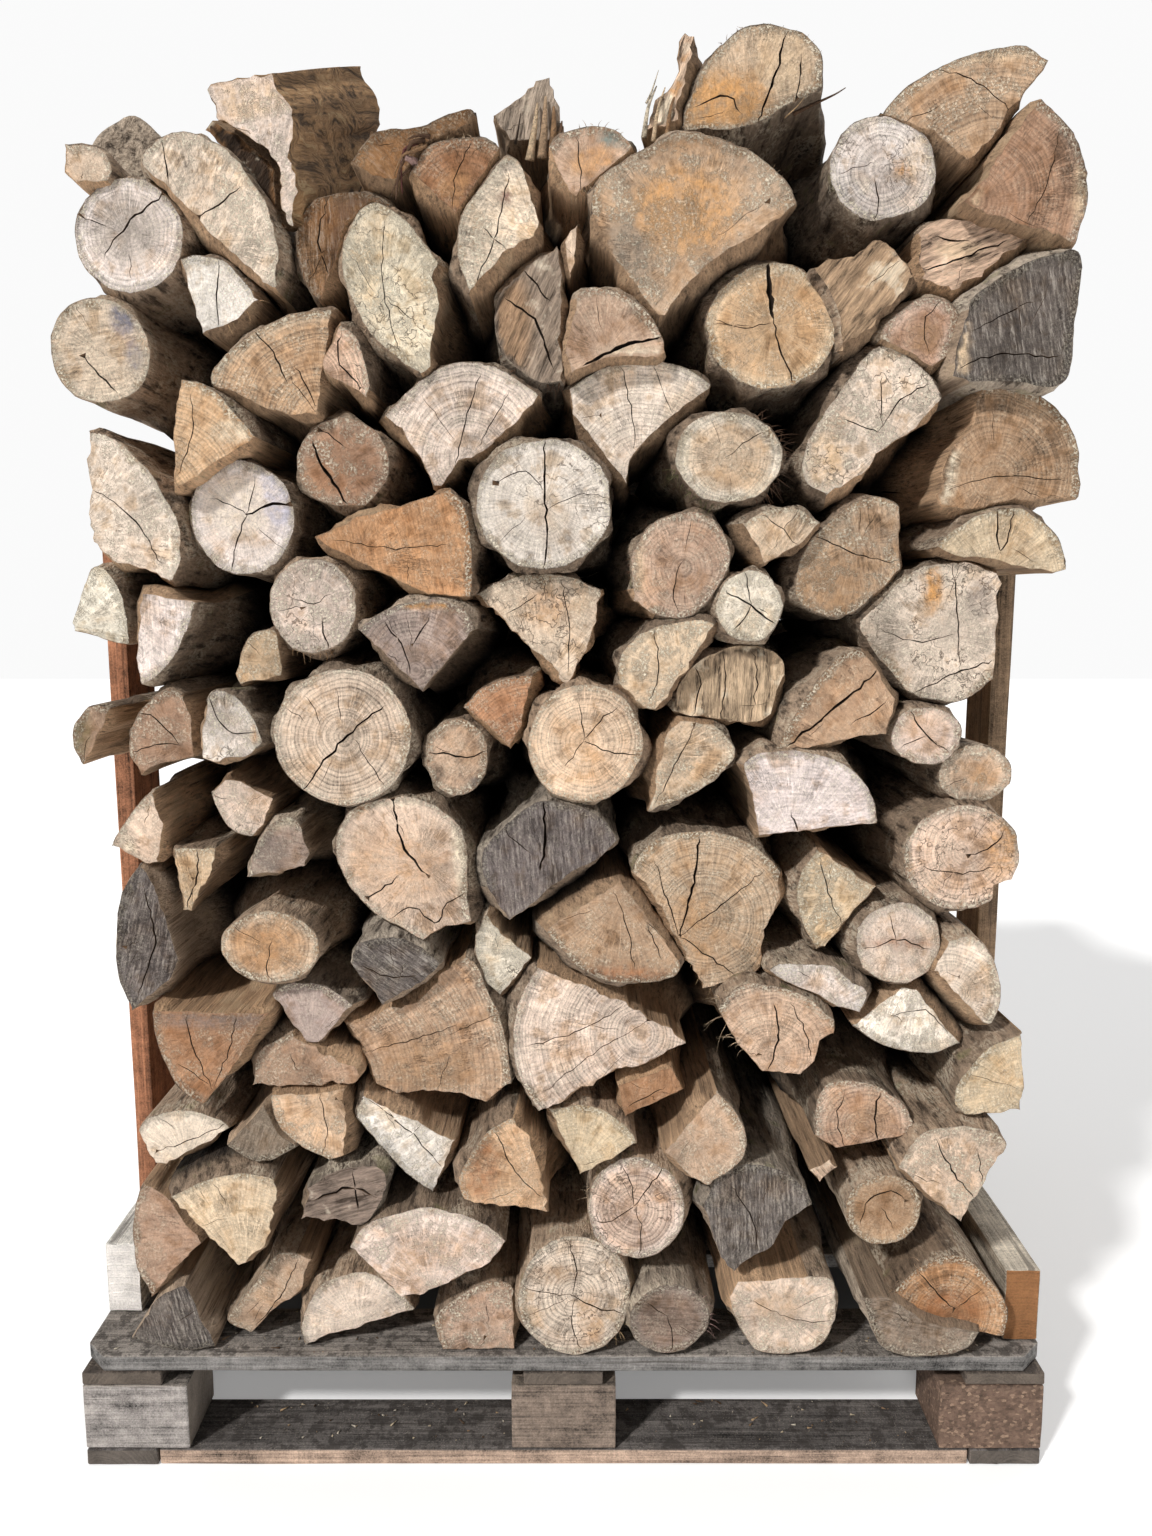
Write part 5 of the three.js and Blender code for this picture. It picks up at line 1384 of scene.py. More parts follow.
# Painted shade deep in the cracks
CRACK_SHADE = linear((34, 24, 17))
GREY_STREAK = linear((58, 51, 46))
MUD = linear((52, 47, 44))
DUST = linear((196, 182, 160))
PALE_CHIP = linear((188, 160, 134))
DARK_CHIP = linear((78, 54, 42))

# Tints, as shares of red, green and blue
BROWNED = (0.84, 0.74, 0.62)
HEART_TINT = (0.85, 0.75, 0.66)
GREYED = (0.78, 0.72, 0.68)
YELLOWED = (0.98, 0.85, 0.70)
PITTED = (0.60, 0.47, 0.36)
KNOTTY_TINT = (0.68, 0.62, 0.50)

RINGS_PER_METRE = 210.0
DEEPEST_SHADE = 0.05
BARK_ROUGHNESS = 0.92


class Graph:
    """A material's nodes, joined by short calls."""

    def __init__(self, name):
        self.material = bpy.data.materials.new(name)
        self.material.use_nodes = True
        self.tree = self.material.node_tree
        self.shader = self.tree.nodes["Principled BSDF"]

    def node(self, kind, values, output=0, **settings):
        made = self.tree.nodes.new(kind)
        for key, value in settings.items():
            setattr(made, key, value)
        for key, value in values.items():
            self.put(made.inputs[key], value)
        return made.outputs[output]

    def put(self, socket, value):
        if isinstance(value, bpy.types.NodeSocket):
            self.tree.links.new(value, socket)
        else:
            socket.default_value = value

    def math(self, operation, a, b=0.0):
        return self.node("ShaderNodeMath", {0: a, 1: b}, operation=operation)

    def total(self, first, *others):
        for other in others:
            first = self.math("ADD", first, other)
        return first

    def less(self, a, b):
        return self.math("SUBTRACT", a, b)

    def product(self, first, *others):
        for other in others:
            first = self.math("MULTIPLY", first, other)
        return first

    def vector(self, operation, a, b=(0.0, 0.0, 0.0)):
        return self.node("ShaderNodeVectorMath", {0: a, 1: b}, operation=operation)

    def length(self, a):
        return self.node("ShaderNodeVectorMath", {0: a}, output=1, operation="LENGTH")

    def value(self, name, output="Vector"):
        return self.node("ShaderNodeAttribute", {}, output=output, attribute_name=name)

    def noise(self, place, scale, detail=3.0, rough=0.55, stretch=None):
        if stretch:
            place = self.vector("MULTIPLY", place, stretch)
        given = {"Vector": place, "Scale": scale, "Detail": detail, "Roughness": rough}
        return self.node("ShaderNodeTexNoise", given)

    def ramp(self, value, low, high, to_low=0.0, to_high=1.0):
        given = {"Value": value, "From Min": low, "From Max": high, "To Min": to_low, "To Max": to_high}
        return self.node("ShaderNodeMapRange", given, interpolation_type="SMOOTHSTEP")

    def swing(self, noise, amount):
        """Noise centred on nothing: about plus and minus half the amount."""
        return self.product(self.less(noise, 0.5), 2.0 * amount)

    def line(self, noise, width):
        """Thin lines along the places where the noise passes its middle."""
        return self.ramp(self.math("ABSOLUTE", self.less(noise, 0.5)), width, width * 0.3)

    def parts(self, vector):
        node = self.tree.nodes.new("ShaderNodeSeparateXYZ")
        self.put(node.inputs[0], vector)
        return tuple(node.outputs)

    def combined(self, x=0.0, y=0.0, z=0.0):
        return self.node("ShaderNodeCombineXYZ", {"X": x, "Y": y, "Z": z})

    def mix(self, share, a, b, blend="MIX"):
        inputs = {0: share, 6: a, 7: b}
        return self.node("ShaderNodeMix", inputs, output=2, data_type="RGBA", blend_type=blend)

    def tinted(self, share, colour, tint):
        """The colour multiplied by a tint, where the share says so."""
        return self.mix(share, colour, self.mix(1.0, colour, (*tint, 1.0), "MULTIPLY"))

    def times(self, colour, factor):
        return self.node("ShaderNodeVectorMath", {0: colour, 3: factor}, operation="SCALE")

    def lit(self, colour, light, *swings):
        """A colour made lighter and darker by noises, each given with how much it swings."""
        for noise, amount in swings:
            light = self.total(light, self.swing(noise, amount))
        return self.times(colour, light)

    def finish(self, colour, height, distance, roughness=0.85):
        """Joins the colour and the bump of a height, in metres, to the shader."""
        self.put(self.shader.inputs["Base Color"], colour)
        self.shader.inputs["Roughness"].default_value = roughness
        self.shader.inputs["Specular IOR Level"].default_value = 0.25
        bump = self.node("ShaderNodeBump", {"Height": height, "Distance": distance, "Strength": 1.0})
        self.put(self.shader.inputs["Normal"], bump)
        return self.material


def around(graph):
    """Places in the wood, moved by the log's own seed so that no two logs are alike."""
    seed = graph.value("seed", "Fac")
    return graph.vector("ADD", graph.value("place"), graph.combined(seed, seed, seed))


def across_and_along(g, x, z, turn_x, turn_z):
    """Places on an end, across and along the direction of its saw lines or torn fibres."""
    across = g.total(g.product(x, turn_x), g.product(z, turn_z))
    return across, g.less(g.product(z, turn_x), g.product(x, turn_z))


def end_fields(g):
    """What a sawn end is painted by: its places, its noises, and the habits of its log."""
    wood = SimpleNamespace(here=around(g), tone=g.value("tone", "Color"), seed=g.value("seed", "Fac"))
    place = g.value("place")
    wood.x, _, wood.z = g.parts(place)
    wood.rings_by, wood.saw_by, wood.worms_by = g.parts(g.value("habit"))
    wood.turn_x, wood.speckle_by, wood.turn_z = g.parts(g.value("saw_turn"))
    wood.to_bark, wood.to_rim, _ = g.parts(g.value("reach"))
    wood.broad = g.noise(wood.here, 14.0, 3.0, 0.55)
    wood.blotch = g.noise(wood.here, 38.0, 5.0, 0.65)
    wood.patch = g.noise(wood.here, 110.0, 5.0, 0.65)
    wood.grit = g.noise(wood.here, 380.0, 4.0, 0.75)
    flat = g.vector("MULTIPLY", place, (1.0, 0.0, 1.0))
    wood.radius = g.total(g.length(flat), g.product(wood.broad, 0.016), g.product(wood.patch, 0.0012))
    wood.from_bark = g.total(wood.to_bark, g.total(g.swing(wood.patch, 0.005), g.swing(wood.blotch, 0.009)))
    return wood


def add_growth(g, wood):
    """The year rings, as soft bands and as dark edges, and the rays across them."""
    along_radius = g.combined(wood.radius, wood.seed)
    wood.band = g.noise(along_radius, 90.0, 3.0, 0.7)
    turns = g.total(g.product(wood.radius, RINGS_PER_METRE), g.product(g.noise(along_radius, 40.0), 5.0))
    late = g.ramp(g.math("FRACT", turns), 0.35, 0.95)
    wood.year = g.product(late, g.ramp(wood.blotch, 0.38, 0.56, 0.3, 1.0), wood.rings_by)
    angle = g.math("ARCTAN2", wood.z, wood.x)
    ray_place = g.combined(g.product(angle, 14.0), wood.seed, g.product(wood.radius, 18.0))
    wood.ray = g.noise(ray_place, 1.7, 5.0, 0.8)


def add_saw_lines(g, wood):
    """The lines that the saw left, slightly wavy."""
    across, along = across_and_along(g, wood.x, wood.z, wood.turn_x, wood.turn_z)
    across = g.total(across, g.product(wood.patch, 0.004), g.product(wood.blotch, 0.006))
    wood.saw = g.noise(g.combined(across, wood.seed, g.product(along, 0.09)), 320.0, 4.0, 0.75)


def end_wood(g, wood):
    """The wood of the end, light and dark by its noises, rings, rays and saw lines."""
    light = g.total(1.05, g.swing(wood.broad, 0.65), g.swing(wood.blotch, 0.75), g.swing(wood.patch, 0.35),
                    g.swing(wood.grit, 0.45), g.product(g.swing(wood.band, 0.8), wood.rings_by),
                    g.product(g.swing(wood.saw, 1.0), wood.saw_by), g.swing(wood.ray, 0.8),
                    g.product(wood.year, -0.40))
    colour = g.times(wood.tone, light)
    return g.tinted(g.ramp(wood.blotch, 0.49, 0.36, 0.0, 0.8), colour, BROWNED)


def with_weather(g, wood, colour):
    """Pale and sooty streaks along the saw lines of a dark old end."""
    patchy = g.ramp(wood.patch, 0.38, 0.54, 0.25, 1.0)
    weathered = g.product(g.ramp(wood.tone, 0.24, 0.15), wood.saw_by, patchy)
    colour = g.mix(g.product(weathered, g.ramp(wood.saw, 0.48, 0.64, 0.0, 0.7)), colour, WEATHERED)
    return g.mix(g.product(weathered, g.ramp(wood.saw, 0.49, 0.38, 0.0, 0.7)), colour, SOOTY)


def with_heart(g, wood, colour):
    """The darker heart, and wide greyed and yellowed clouds."""
    heart = g.product(g.ramp(wood.from_bark, 0.010, 0.018), g.value("heart", "Fac"))
    colour = g.tinted(heart, colour, HEART_TINT)
    colour = g.tinted(g.ramp(g.noise(wood.here, 17.0, 3.0), 0.53, 0.66, 0.0, 0.5), colour, GREYED)
    return g.tinted(g.ramp(g.noise(wood.here, 21.0, 2.0), 0.54, 0.68, 0.0, 0.5), colour, YELLOWED)


def with_rough_wood(g, wood, colour):
    """Wood torn by the saw, pale with dark pits: by the bark, and in patches. Its pale raised specks are
    partly painted highlight.
    """
    near_bark = g.ramp(wood.from_bark, 0.013, 0.004)
    wood.rough = g.math("MAXIMUM", near_bark, g.product(g.ramp(wood.blotch, 0.48, 0.58), wood.speckle_by))
    wood.pale = g.product(wood.rough, g.ramp(wood.grit, 0.46, 0.57))
    # Pale torn fibres, partly painted highlight on the raised specks
    colour = g.mix(g.product(wood.pale, g.ramp(wood.tone, 0.12, 0.34, 0.25, 0.85)), colour, CREAM)
    return g.tinted(g.product(wood.rough, g.ramp(wood.grit, 0.45, 0.36), 0.5), colour, PITTED)


def with_marks(g, wood, colour):
    """The stains, hearts and pale edges of the log's own marks."""
    share = g.product(g.value("stain", "Alpha"), g.ramp(wood.patch, 0.36, 0.60, 0.45, 1.0))
    light = g.total(1.0, g.swing(wood.patch, 0.5), g.swing(wood.grit, 0.6), g.swing(wood.ray, 0.4))
    return g.mix(share, colour, g.times(g.value("stain", "Color"), light))


def with_fine_lines(g, wood, colour):
    """Worm tracks, and hairlines along the rays."""
    worm = g.line(g.noise(wood.here, 40.0, 3.0, 0.6), 0.011)
    worm = g.product(worm, g.ramp(wood.broad, 0.44, 0.54), wood.worms_by)
    check = g.product(g.line(wood.ray, 0.012), g.ramp(g.noise(wood.here, 24.0, 2.0), 0.56, 0.64))
    wood.lines = g.math("MAXIMUM", g.product(worm, 0.75), g.product(check, 0.45))
    return g.mix(wood.lines, colour, DIRT)


def with_rim(g, wood, colour):
    """A frayed dark rim, and the skin of bark round it."""
    torn = g.ramp(g.less(wood.to_rim, g.product(g.less(wood.grit, 0.45), 0.008)), 0.0008, -0.0004)
    colour = g.mix(g.product(torn, 0.25), colour, DIRT)
    skin_edge = g.product(g.less(g.math("MAXIMUM", wood.grit, wood.patch), 0.42), 0.012)
    skin = g.ramp(g.less(wood.to_bark, skin_edge), 0.0008, -0.0005)
    return g.mix(skin, colour, g.times(g.value("bark", "Color"), 0.75))


def sawn_end_material():
    """A sawn end: rings, rays, saw lines, a darker heart, torn wood at the bark, marks and hairlines."""
    g = Graph("sawn_end")
    wood = end_fields(g)
    add_growth(g, wood)
    add_saw_lines(g, wood)
    colour = end_wood(g, wood)
    for step in (with_weather, with_heart, with_rough_wood, with_marks, with_fine_lines, with_rim):
        colour = step(g, wood, colour)
    grainy = g.product(wood.grit, g.total(g.product(wood.rough, 0.6), 0.15))
    height = g.total(grainy, g.product(wood.ray, 0.3), g.product(wood.patch, 0.55),
                     g.product(wood.year, -0.15), g.product(wood.pale, 0.4),
                     g.product(wood.saw, wood.saw_by, 0.5), g.product(wood.lines, -0.7))
    return g.finish(colour, height, 0.0034)


def with_painted_shade(g, colour):
    """Paints shade on the side of a log where it is deep between others."""
    return g.times(colour, g.ramp(g.value("shelter", "Fac"), 0.0, 1.0, 1.0, DEEPEST_SHADE))


def split_side_material():
    """A split face: long fibres with dark checks and pale torn strands."""
    g = Graph("split_side")
    here = around(g)
    fibre = g.noise(here, 300.0, 5.0, 0.75, (1.0, 0.035, 1.0))
    strand = g.noise(here, 90.0, 5.0, 0.65, (1.0, 0.05, 1.0))
    blotch = g.noise(here, 18.0, 4.0, 0.6, (1.0, 0.5, 1.0))
    grit = g.noise(here, 460.0, 3.0, 0.7)
    side = g.value("side", "Color")
    colour = g.lit(side, 1.03, (fibre, 1.1), (strand, 1.0), (blotch, 0.6), (grit, 0.4))
    colour = g.mix(g.ramp(strand, 0.58, 0.66, 0.0, 0.7), colour, DIRT)
    colour = g.mix(g.ramp(fibre, 0.40, 0.33, 0.0, 0.6), colour, DARK_FIBRE)
    colour = g.mix(g.ramp(blotch, 0.55, 0.68, 0.0, 0.4), colour, PALE_FIBRE)
    height = g.total(g.product(fibre, 0.8), strand)
    # Painted shade where the split side lies deep between other logs
    return g.finish(with_painted_shade(g, colour), height, 0.007)


def bark_material():
    """Furrowed bark with pale lichen and a little moss."""
    g = Graph("bark")
    here = around(g)
    ridge = g.noise(here, 100.0, 4.0, 0.65, (1.0, 0.13, 1.0))
    crust = g.noise(here, 300.0, 3.0, 0.7, (1.0, 0.4, 1.0))
    patch = g.noise(here, 20.0, 4.0, 0.6)
    colour = g.lit(g.value("bark", "Color"), 0.98, (ridge, 1.2), (crust, 0.8), (patch, 0.6))
    colour = g.mix(g.ramp(ridge, 0.45, 0.36, 0.0, 0.6), colour, FURROW)
    lichen = g.product(g.ramp(patch, 0.48, 0.6), g.ramp(crust, 0.44, 0.56), 0.6)
    colour = g.mix(lichen, colour, LICHEN)
    colour = g.mix(g.product(g.ramp(g.noise(here, 26.0, 3.0), 0.62, 0.7), 0.35), colour, MOSS)
    height = g.total(ridge, g.product(crust, 0.4))
    # Painted shade where the bark lies deep between other logs
    return g.finish(with_painted_shade(g, colour), height, 0.009, BARK_ROUGHNESS)


def torn_material():
    """A torn or slanting face where the fibres show, with painted shade between them."""
    g = Graph("torn")
    here = around(g)
    turn_x, _, turn_z = g.parts(g.value("saw_turn"))
    x, y, z = g.parts(here)
    across, along = across_and_along(g, x, z, turn_x, turn_z)
    fibres = g.combined(across, y, g.product(along, 0.10))
    strand = g.noise(fibres, 130.0, 5.0, 0.7)
    thread = g.noise(fibres, 420.0, 3.0, 0.7)
    patch = g.noise(here, 34.0, 4.0, 0.6)
    swings = (strand, 1.7), (thread, 0.8), (patch, 0.8)
    colour = g.lit(g.value("tone", "Color"), 1.05, *swings)
    colour = g.mix(g.value("stain", "Alpha"), colour, g.lit(g.value("stain", "Color"), 1.05, *swings))
    # Painted shade in the grooves between the torn fibres
    colour = g.mix(g.ramp(strand, 0.43, 0.34, 0.0, 0.75), colour, TORN_SHADE)
    colour = g.mix(g.ramp(patch, 0.56, 0.68, 0.0, 0.45), colour, CREAM)
    height = g.total(strand, g.product(thread, 0.4), g.product(patch, 0.5))
    return g.finish(colour, height, 0.008)


def knotty_material():
    """A split face whose grain bends round knots."""
    g = Graph("knotty")
    here = around(g)
    bend = g.swing(g.noise(here, 13.0, 2.0, 0.5), 0.065)
    x, y, z = g.parts(here)
    grain = g.combined(g.total(x, bend), y, g.total(z, bend))
    strand = g.noise(grain, 95.0, 5.0, 0.7, (1.0, 0.045, 1.0))
    thread = g.noise(grain, 330.0, 4.0, 0.75, (1.0, 0.045, 1.0))
    patch = g.noise(here, 40.0, 4.0, 0.62)
    colour = g.lit(g.value("side", "Color"), 1.05, (strand, 1.2), (thread, 1.0), (patch, 0.7))
    colour = g.tinted(1.0, colour, KNOTTY_TINT)
    colour = g.mix(g.ramp(strand, 0.53, 0.33, 0.0, 0.85), colour, KNOT_DARK)
    colour = g.mix(g.ramp(strand, 0.57, 0.67, 0.0, 0.6), colour, KNOT_PALE)
    height = g.total(strand, g.product(thread, 0.5), g.product(patch, 0.6))
    # Painted shade where the knotty side lies deep between other logs
    return g.finish(with_painted_shade(g, colour), height, 0.008)


def crack_material():
    """The walls of a crack, with painted shade that makes them darker the deeper they are."""
    g = Graph("crack")
    here = around(g)
    fibre = g.noise(here, 300.0, 3.0)
    _, _, depth = g.parts(g.value("reach"))
    colour = g.mix(g.ramp(depth, 0.0, 0.002), CRACK_EDGE, CRACK_SHADE)
    colour = g.times(colour, g.ramp(fibre, 0.3, 0.7, 0.7, 1.2))
    return g.finish(colour, fibre, 0.001)


def board_material(name):
    """Weathered sawn wood: grain along the board, faint saw marks across it, dirt and dust on the top."""
    g = Graph(name)
    here = around(g)
    fibre = g.noise(here, 300.0, 5.0, 0.75, (1.0, 0.02, 1.0))
    streak = g.noise(here, 75.0, 5.0, 0.65, (1.0, 0.035, 1.0))
    blotch = g.noise(here, 13.0, 5.0, 0.65)
    stain = g.noise(here, 42.0, 5.0, 0.72)
    grit = g.noise(here, 430.0, 4.0, 0.75)
    sawn = g.swing(g.noise(here, 210.0, 3.0, 0.7, (0.05, 1.0, 0.05)), 0.5)
    sawn = g.product(sawn, g.ramp(blotch, 0.48, 0.58))
    _, _, top = g.parts(g.value("reach"))
    swings = [g.swing(fibre, 1.1), g.swing(streak, 1.1), g.swing(blotch, 0.8), g.swing(stain, 1.0)]
    light = g.total(1.0, *swings, g.swing(grit, 1.1), sawn)
    colour = g.times(g.value("side", "Color"), light)
    colour = g.mix(g.ramp(streak, 0.57, 0.66, 0.0, 0.65), colour, GREY_STREAK)
    colour = g.mix(g.product(top, g.ramp(stain, 0.46, 0.58, 0.1, 0.8)), colour, MUD)
    drift = g.ramp(g.noise(here, 36.0, 3.0), 0.45, 0.6)
    dust = g.product(g.ramp(grit, 0.60, 0.66, 0.0, 0.85), drift, top)
    colour = g.mix(dust, colour, DUST)
    height = g.total(g.product(fibre, 0.6), streak, g.product(grit, 0.3), g.product(dust, 0.5))
    return g.finish(colour, height, 0.0035)


def board_end_material():
    """The sawn end of a board, with curved year rings and rough dark streaks."""
    g = Graph("board_end")
    here = around(g)
    flat = g.vector("MULTIPLY", g.value("place"), (1.0, 0.0, 1.0))
    blotch = g.noise(here, 34.0, 4.0, 0.6)
    radius = g.total(g.length(flat), g.product(blotch, 0.008))
    rings = g.noise(g.combined(radius, g.value("seed", "Fac")), 300.0, 2.0)
    grit = g.noise(here, 420.0, 3.0, 0.75)
    colour = g.lit(g.value("tone", "Color"), 1.0, (rings, 0.5), (grit, 0.5), (blotch, 0.55))
    return g.finish(colour, g.total(grit, rings), 0.002)


def chip_block_material():
    """Wood chips pressed into a block."""
    g = Graph("chip_block")
    here = around(g)
    chip_place = g.vector("MULTIPLY", here, (0.7, 1.0, 1.0))
    chips = g.node("ShaderNodeTexVoronoi", {"Vector": chip_place, "Scale": 330.0}, output=1)
    shade = g.noise(chips, 3.0, 0.0)
    patch = g.noise(here, 60.0, 4.0, 0.65)
    grit = g.noise(here, 560.0, 3.0, 0.75)
    light = g.total(0.05, g.product(shade, 1.3), g.product(grit, 0.6), g.swing(patch, 0.7))
    colour = g.times(g.value("side", "Color"), light)
    colour = g.mix(g.ramp(shade, 0.6, 0.7, 0.0, 0.4), colour, PALE_CHIP)
    colour = g.mix(g.ramp(grit, 0.56, 0.66, 0.0, 0.6), colour, DARK_CHIP)
    return g.finish(colour, g.total(shade, grit), 0.002)


# The stack, a mesh for each bunch of logs


def in_row(name, row):
    """The back row is without the loose logs on top, which have back ends of their own."""
    return row == "front" or LOGS[name]["back"] is None


def coarse_outlines(row):
    """The outlines of a row's logs by name, to find what lies round a log."""
    outlines = {}
    for index, (name, log) in enumerate(LOGS.items()):
        if in_row(name, row):
            move = end_of(log, row, index)[2]
            outlines[name] = np.array([move(point) for point in log_outline(log, COARSE_STEP)[0]])
    return outlines


def build_logs():
    """Both rows of logs. Returns their materials."""
    materials = [sawn_end_material(), split_side_material(), bark_material(), crack_material(),
                 torn_material(), knotty_material()]
    number = {name: index for index, name in enumerate(LOGS)}
    for row in ("front", "back"):
        outlines = coarse_outlines(row)
        for bunch, names in BUNCHES.items():
            chosen = [name for name in names.split() if in_row(name, row)]
            if not chosen:
                continue
            pieces = Pieces()
            for name in chosen:
                others = [outline for other, outline in outlines.items() if other != name]
                add_log(pieces, {**LOGS[name], "name": name}, row, number[name], others)
            stand_in(f"{row}_{bunch}", pieces, materials)
    return materials


# Boards, blocks, sills and posts

BOARD_STEP = 12.0
BOARD_END_STEP = 0.7 * BOARD_STEP
EDGE_ROUND = 2.5
CORNER_CUT = 28.0
WORN_EDGE = 1.2
WORN_LENGTH = 4.0
BOARD_RELIEF = ((0.5, (14, 130, 14), 0), (0.35, (70, 260, 70), 1))
BOARD_WEAR = 0.6

# The axes across, along and up the grain of a piece whose grain runs along x, y or z
GRAINS = {"x": (2, 0, 1), "y": (0, 1, 2), "z": (1, 2, 0)}

# Colours of the pallet in sRGB: on the sides, the top and the ends
DECK = ((119, 116, 113), (156, 148, 140), (122, 112, 102))
STRINGER = ((104, 93, 84), (104, 93, 84), (98, 88, 79))
BASE = ((108, 99, 92), (112, 106, 103), (96, 88, 81))
FRONT_BASE = ((172, 148, 130), (112, 106, 102), (150, 128, 110))
LEFT_BLOCK = ((156, 149, 144), (146, 137, 128), (146, 135, 124))
MIDDLE_BLOCK = ((128, 113, 101), (130, 117, 104), (140, 125, 110))
CHIP_BLOCK = ((118, 96, 82), (112, 92, 79), (118, 96, 82))
LEFT_SILL = ((198, 192, 182), (220, 216, 208), (236, 230, 224))
RIGHT_SILL = ((162, 150, 134), (200, 189, 172), (144, 100, 64))
LEFT_POST = ((158, 108, 80), (158, 108, 80), (164, 118, 88))
RIGHT_POST = ((146, 122, 98), (146, 122, 98), (160, 134, 106))
SILL_DIRT = 0.35


def rounded_rectangle(width, height, radius, step):
    """Points round a rectangle with rounded corners, counter-clockwise."""
    corners = [(radius, radius, 180), (width - radius, radius, 270), (width - radius, height - radius, 0),
               (radius, height - radius, 90)]
    arcs = []
    for x, y, start in corners:
        angles = np.radians(start + np.array([0, 45, 90]))
        arcs.append(np.stack([x + radius * np.cos(angles), y + radius * np.sin(angles)], axis=1))
    points = []
    for arc, following in zip(arcs, arcs[1:] + arcs[:1]):
        points += [arc[:-1], straight(arc[-1], following[0], step)]
    return np.concatenate(points)


def cut_front(flat, stop, length):
    """Cuts the front corners off a deck board whose grain runs along x."""
    inset = max(0.0, CORNER_CUT - min(stop, length - stop))
    depth = flat[:, 1].max()
    return np.stack([flat[:, 0], inset + flat[:, 1] * (1 - inset / depth)], axis=1)


def cut_back(flat, stop, length):
    """Cuts the back corners off a deck board whose grain runs along x."""
    inset = max(0.0, CORNER_CUT - min(stop, length - stop))
    return np.stack([flat[:, 0], flat[:, 1] * (1 - inset / flat[:, 1].max())], axis=1)


def stops_along(length):
    """Where the rings of points of a board are, two of them close to each worn end."""
    count = max(6, round(length / BOARD_STEP))
    between = np.linspace(WORN_LENGTH, length - WORN_LENGTH, count)
    return np.concatenate([[0.0, WORN_EDGE], between, [length - WORN_EDGE, length]])


def add_board_ring(pieces, outline, stop, length, seed, shape, pith, values):
    """Adds one ring of points of a board, worn and drawn in at its ends, and returns it for the ends."""
    drawn_in = WORN_EDGE if stop in (0.0, length) else 0.0
    relief = layered(at_depth(outline, stop), BOARD_RELIEF, seed) - BOARD_WEAR
    flat = outline + outward(outline) * (relief - drawn_in)[:, None]
    flat = shape(flat, stop, length) if shape else flat
    ring = at_depth(flat, stop)
    return pieces.add_points(ring, place=place_of(ring, pith, 0.0), **values), flat


def timber(node, slot, grain, side, top, end, materials, shape=None, dirt=1.0):
    """A sawn board or block in the place of its node, with colours for its sides, top and ends."""
    low, high = (np.array(corner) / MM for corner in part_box(node))
    across, along, up = GRAINS[grain]
    length, width, height = (high - low)[[along, across, up]]
    seed = sum(ord(letter) * (place + 1) for place, letter in enumerate(node)) % 997
    rng = np.random.default_rng(seed)
    pith = np.array([width * rng.uniform(0.2, 0.8), -height * rng.uniform(0.6, 1.5)])
    outline = rounded_rectangle(width, height, EDGE_ROUND, BOARD_STEP)
    out = outward(outline)
    upward = {"x": out[:, 0], "y": out[:, 1], "z": np.zeros(len(out))}[grain]
    shared = {"tone": linear(end), "bark": linear(end), "seed": [seed * 0.37], "habit": [0.0] * 3,
              "saw_turn": [1.0, 0.0, 0.0], "heart": [0.0]}
    dirty = dirt * np.clip(upward, 0, 1)
    values = {"reach": np.stack([np.ones(len(out)), np.zeros(len(out)), dirty], axis=1), "shelter": [0.0],
              "side": np.where(upward[:, None] > 0.5, linear(top), linear(side)), "stain": NO_STAIN,
              **shared}
    pieces = Pieces()
    rings = [add_board_ring(pieces, outline, stop, length, seed, shape, pith, values)
             for stop in stops_along(length)]
    n = len(outline)
    for (a, _), (b, _) in zip(rings, rings[1:]):
        pieces.add_faces([side_quad(a, b, i, n, 1) for i in range(n)], SIDE)
    middle = outline.mean(axis=0)
    board = SimpleNamespace(rng=rng, middle=middle, pith=pith, outer=0.0, bark_line=far_bark(middle),
                            shared={**shared, "side": linear(side)})
    add_end(pieces, board, rings[0], 0.0, 1, BOARD_END_STEP, seed)
    add_end(pieces, board, rings[-1], length, -1, BOARD_END_STEP, seed)
    points = np.concatenate(pieces.points)
    turned = np.empty_like(points)
    turned[:, [across, along, up]] = points
    pieces.points = [turned + low + (0, HALF_DEPTH, 0)]
    stand_in(node, pieces, materials)


def build_pallet():
    """The pallet's boards and blocks, the sills and the posts."""
    board = board_material("weathered_board")
    wood = [board_end_material(), board]
    chips = chip_block_material()
    for number, shape in ((1, cut_front), (2, None), (3, None), (4, None), (5, cut_back)):
        timber(f"deck_board_{number}", "deck_wood", "x", *DECK, wood, shape=shape)
    for name in ("left", "middle", "right"):
        timber(f"stringer_{name}", "deck_wood", "y", *STRINGER, wood)
        timber(f"base_runner_{name}", "base_wood", "y", *BASE, wood)
    timber("base_board_front", "base_wood", "x", *FRONT_BASE, wood)
    timber("base_board_back", "base_wood", "x", *BASE, wood)
    for place in ("front", "centre", "back"):
        timber(f"block_{place}_left", "block_wood", "x", *LEFT_BLOCK, wood)
        timber(f"block_{place}_middle", "block_wood", "x", *MIDDLE_BLOCK, wood)
        timber(f"block_{place}_right", "block_wood", "y", *CHIP_BLOCK, [chips, chips])
    timber("sill_left", "sill_wood", "y", *LEFT_SILL, wood, dirt=SILL_DIRT)
    timber("sill_right", "sill_wood", "y", *RIGHT_SILL, wood, dirt=SILL_DIRT)
    for place in ("front", "back"):
        timber(f"post_left_{place}", "post_wood", "z", *LEFT_POST, wood)
        timber(f"post_right_{place}", "post_wood", "z", *RIGHT_POST, wood)


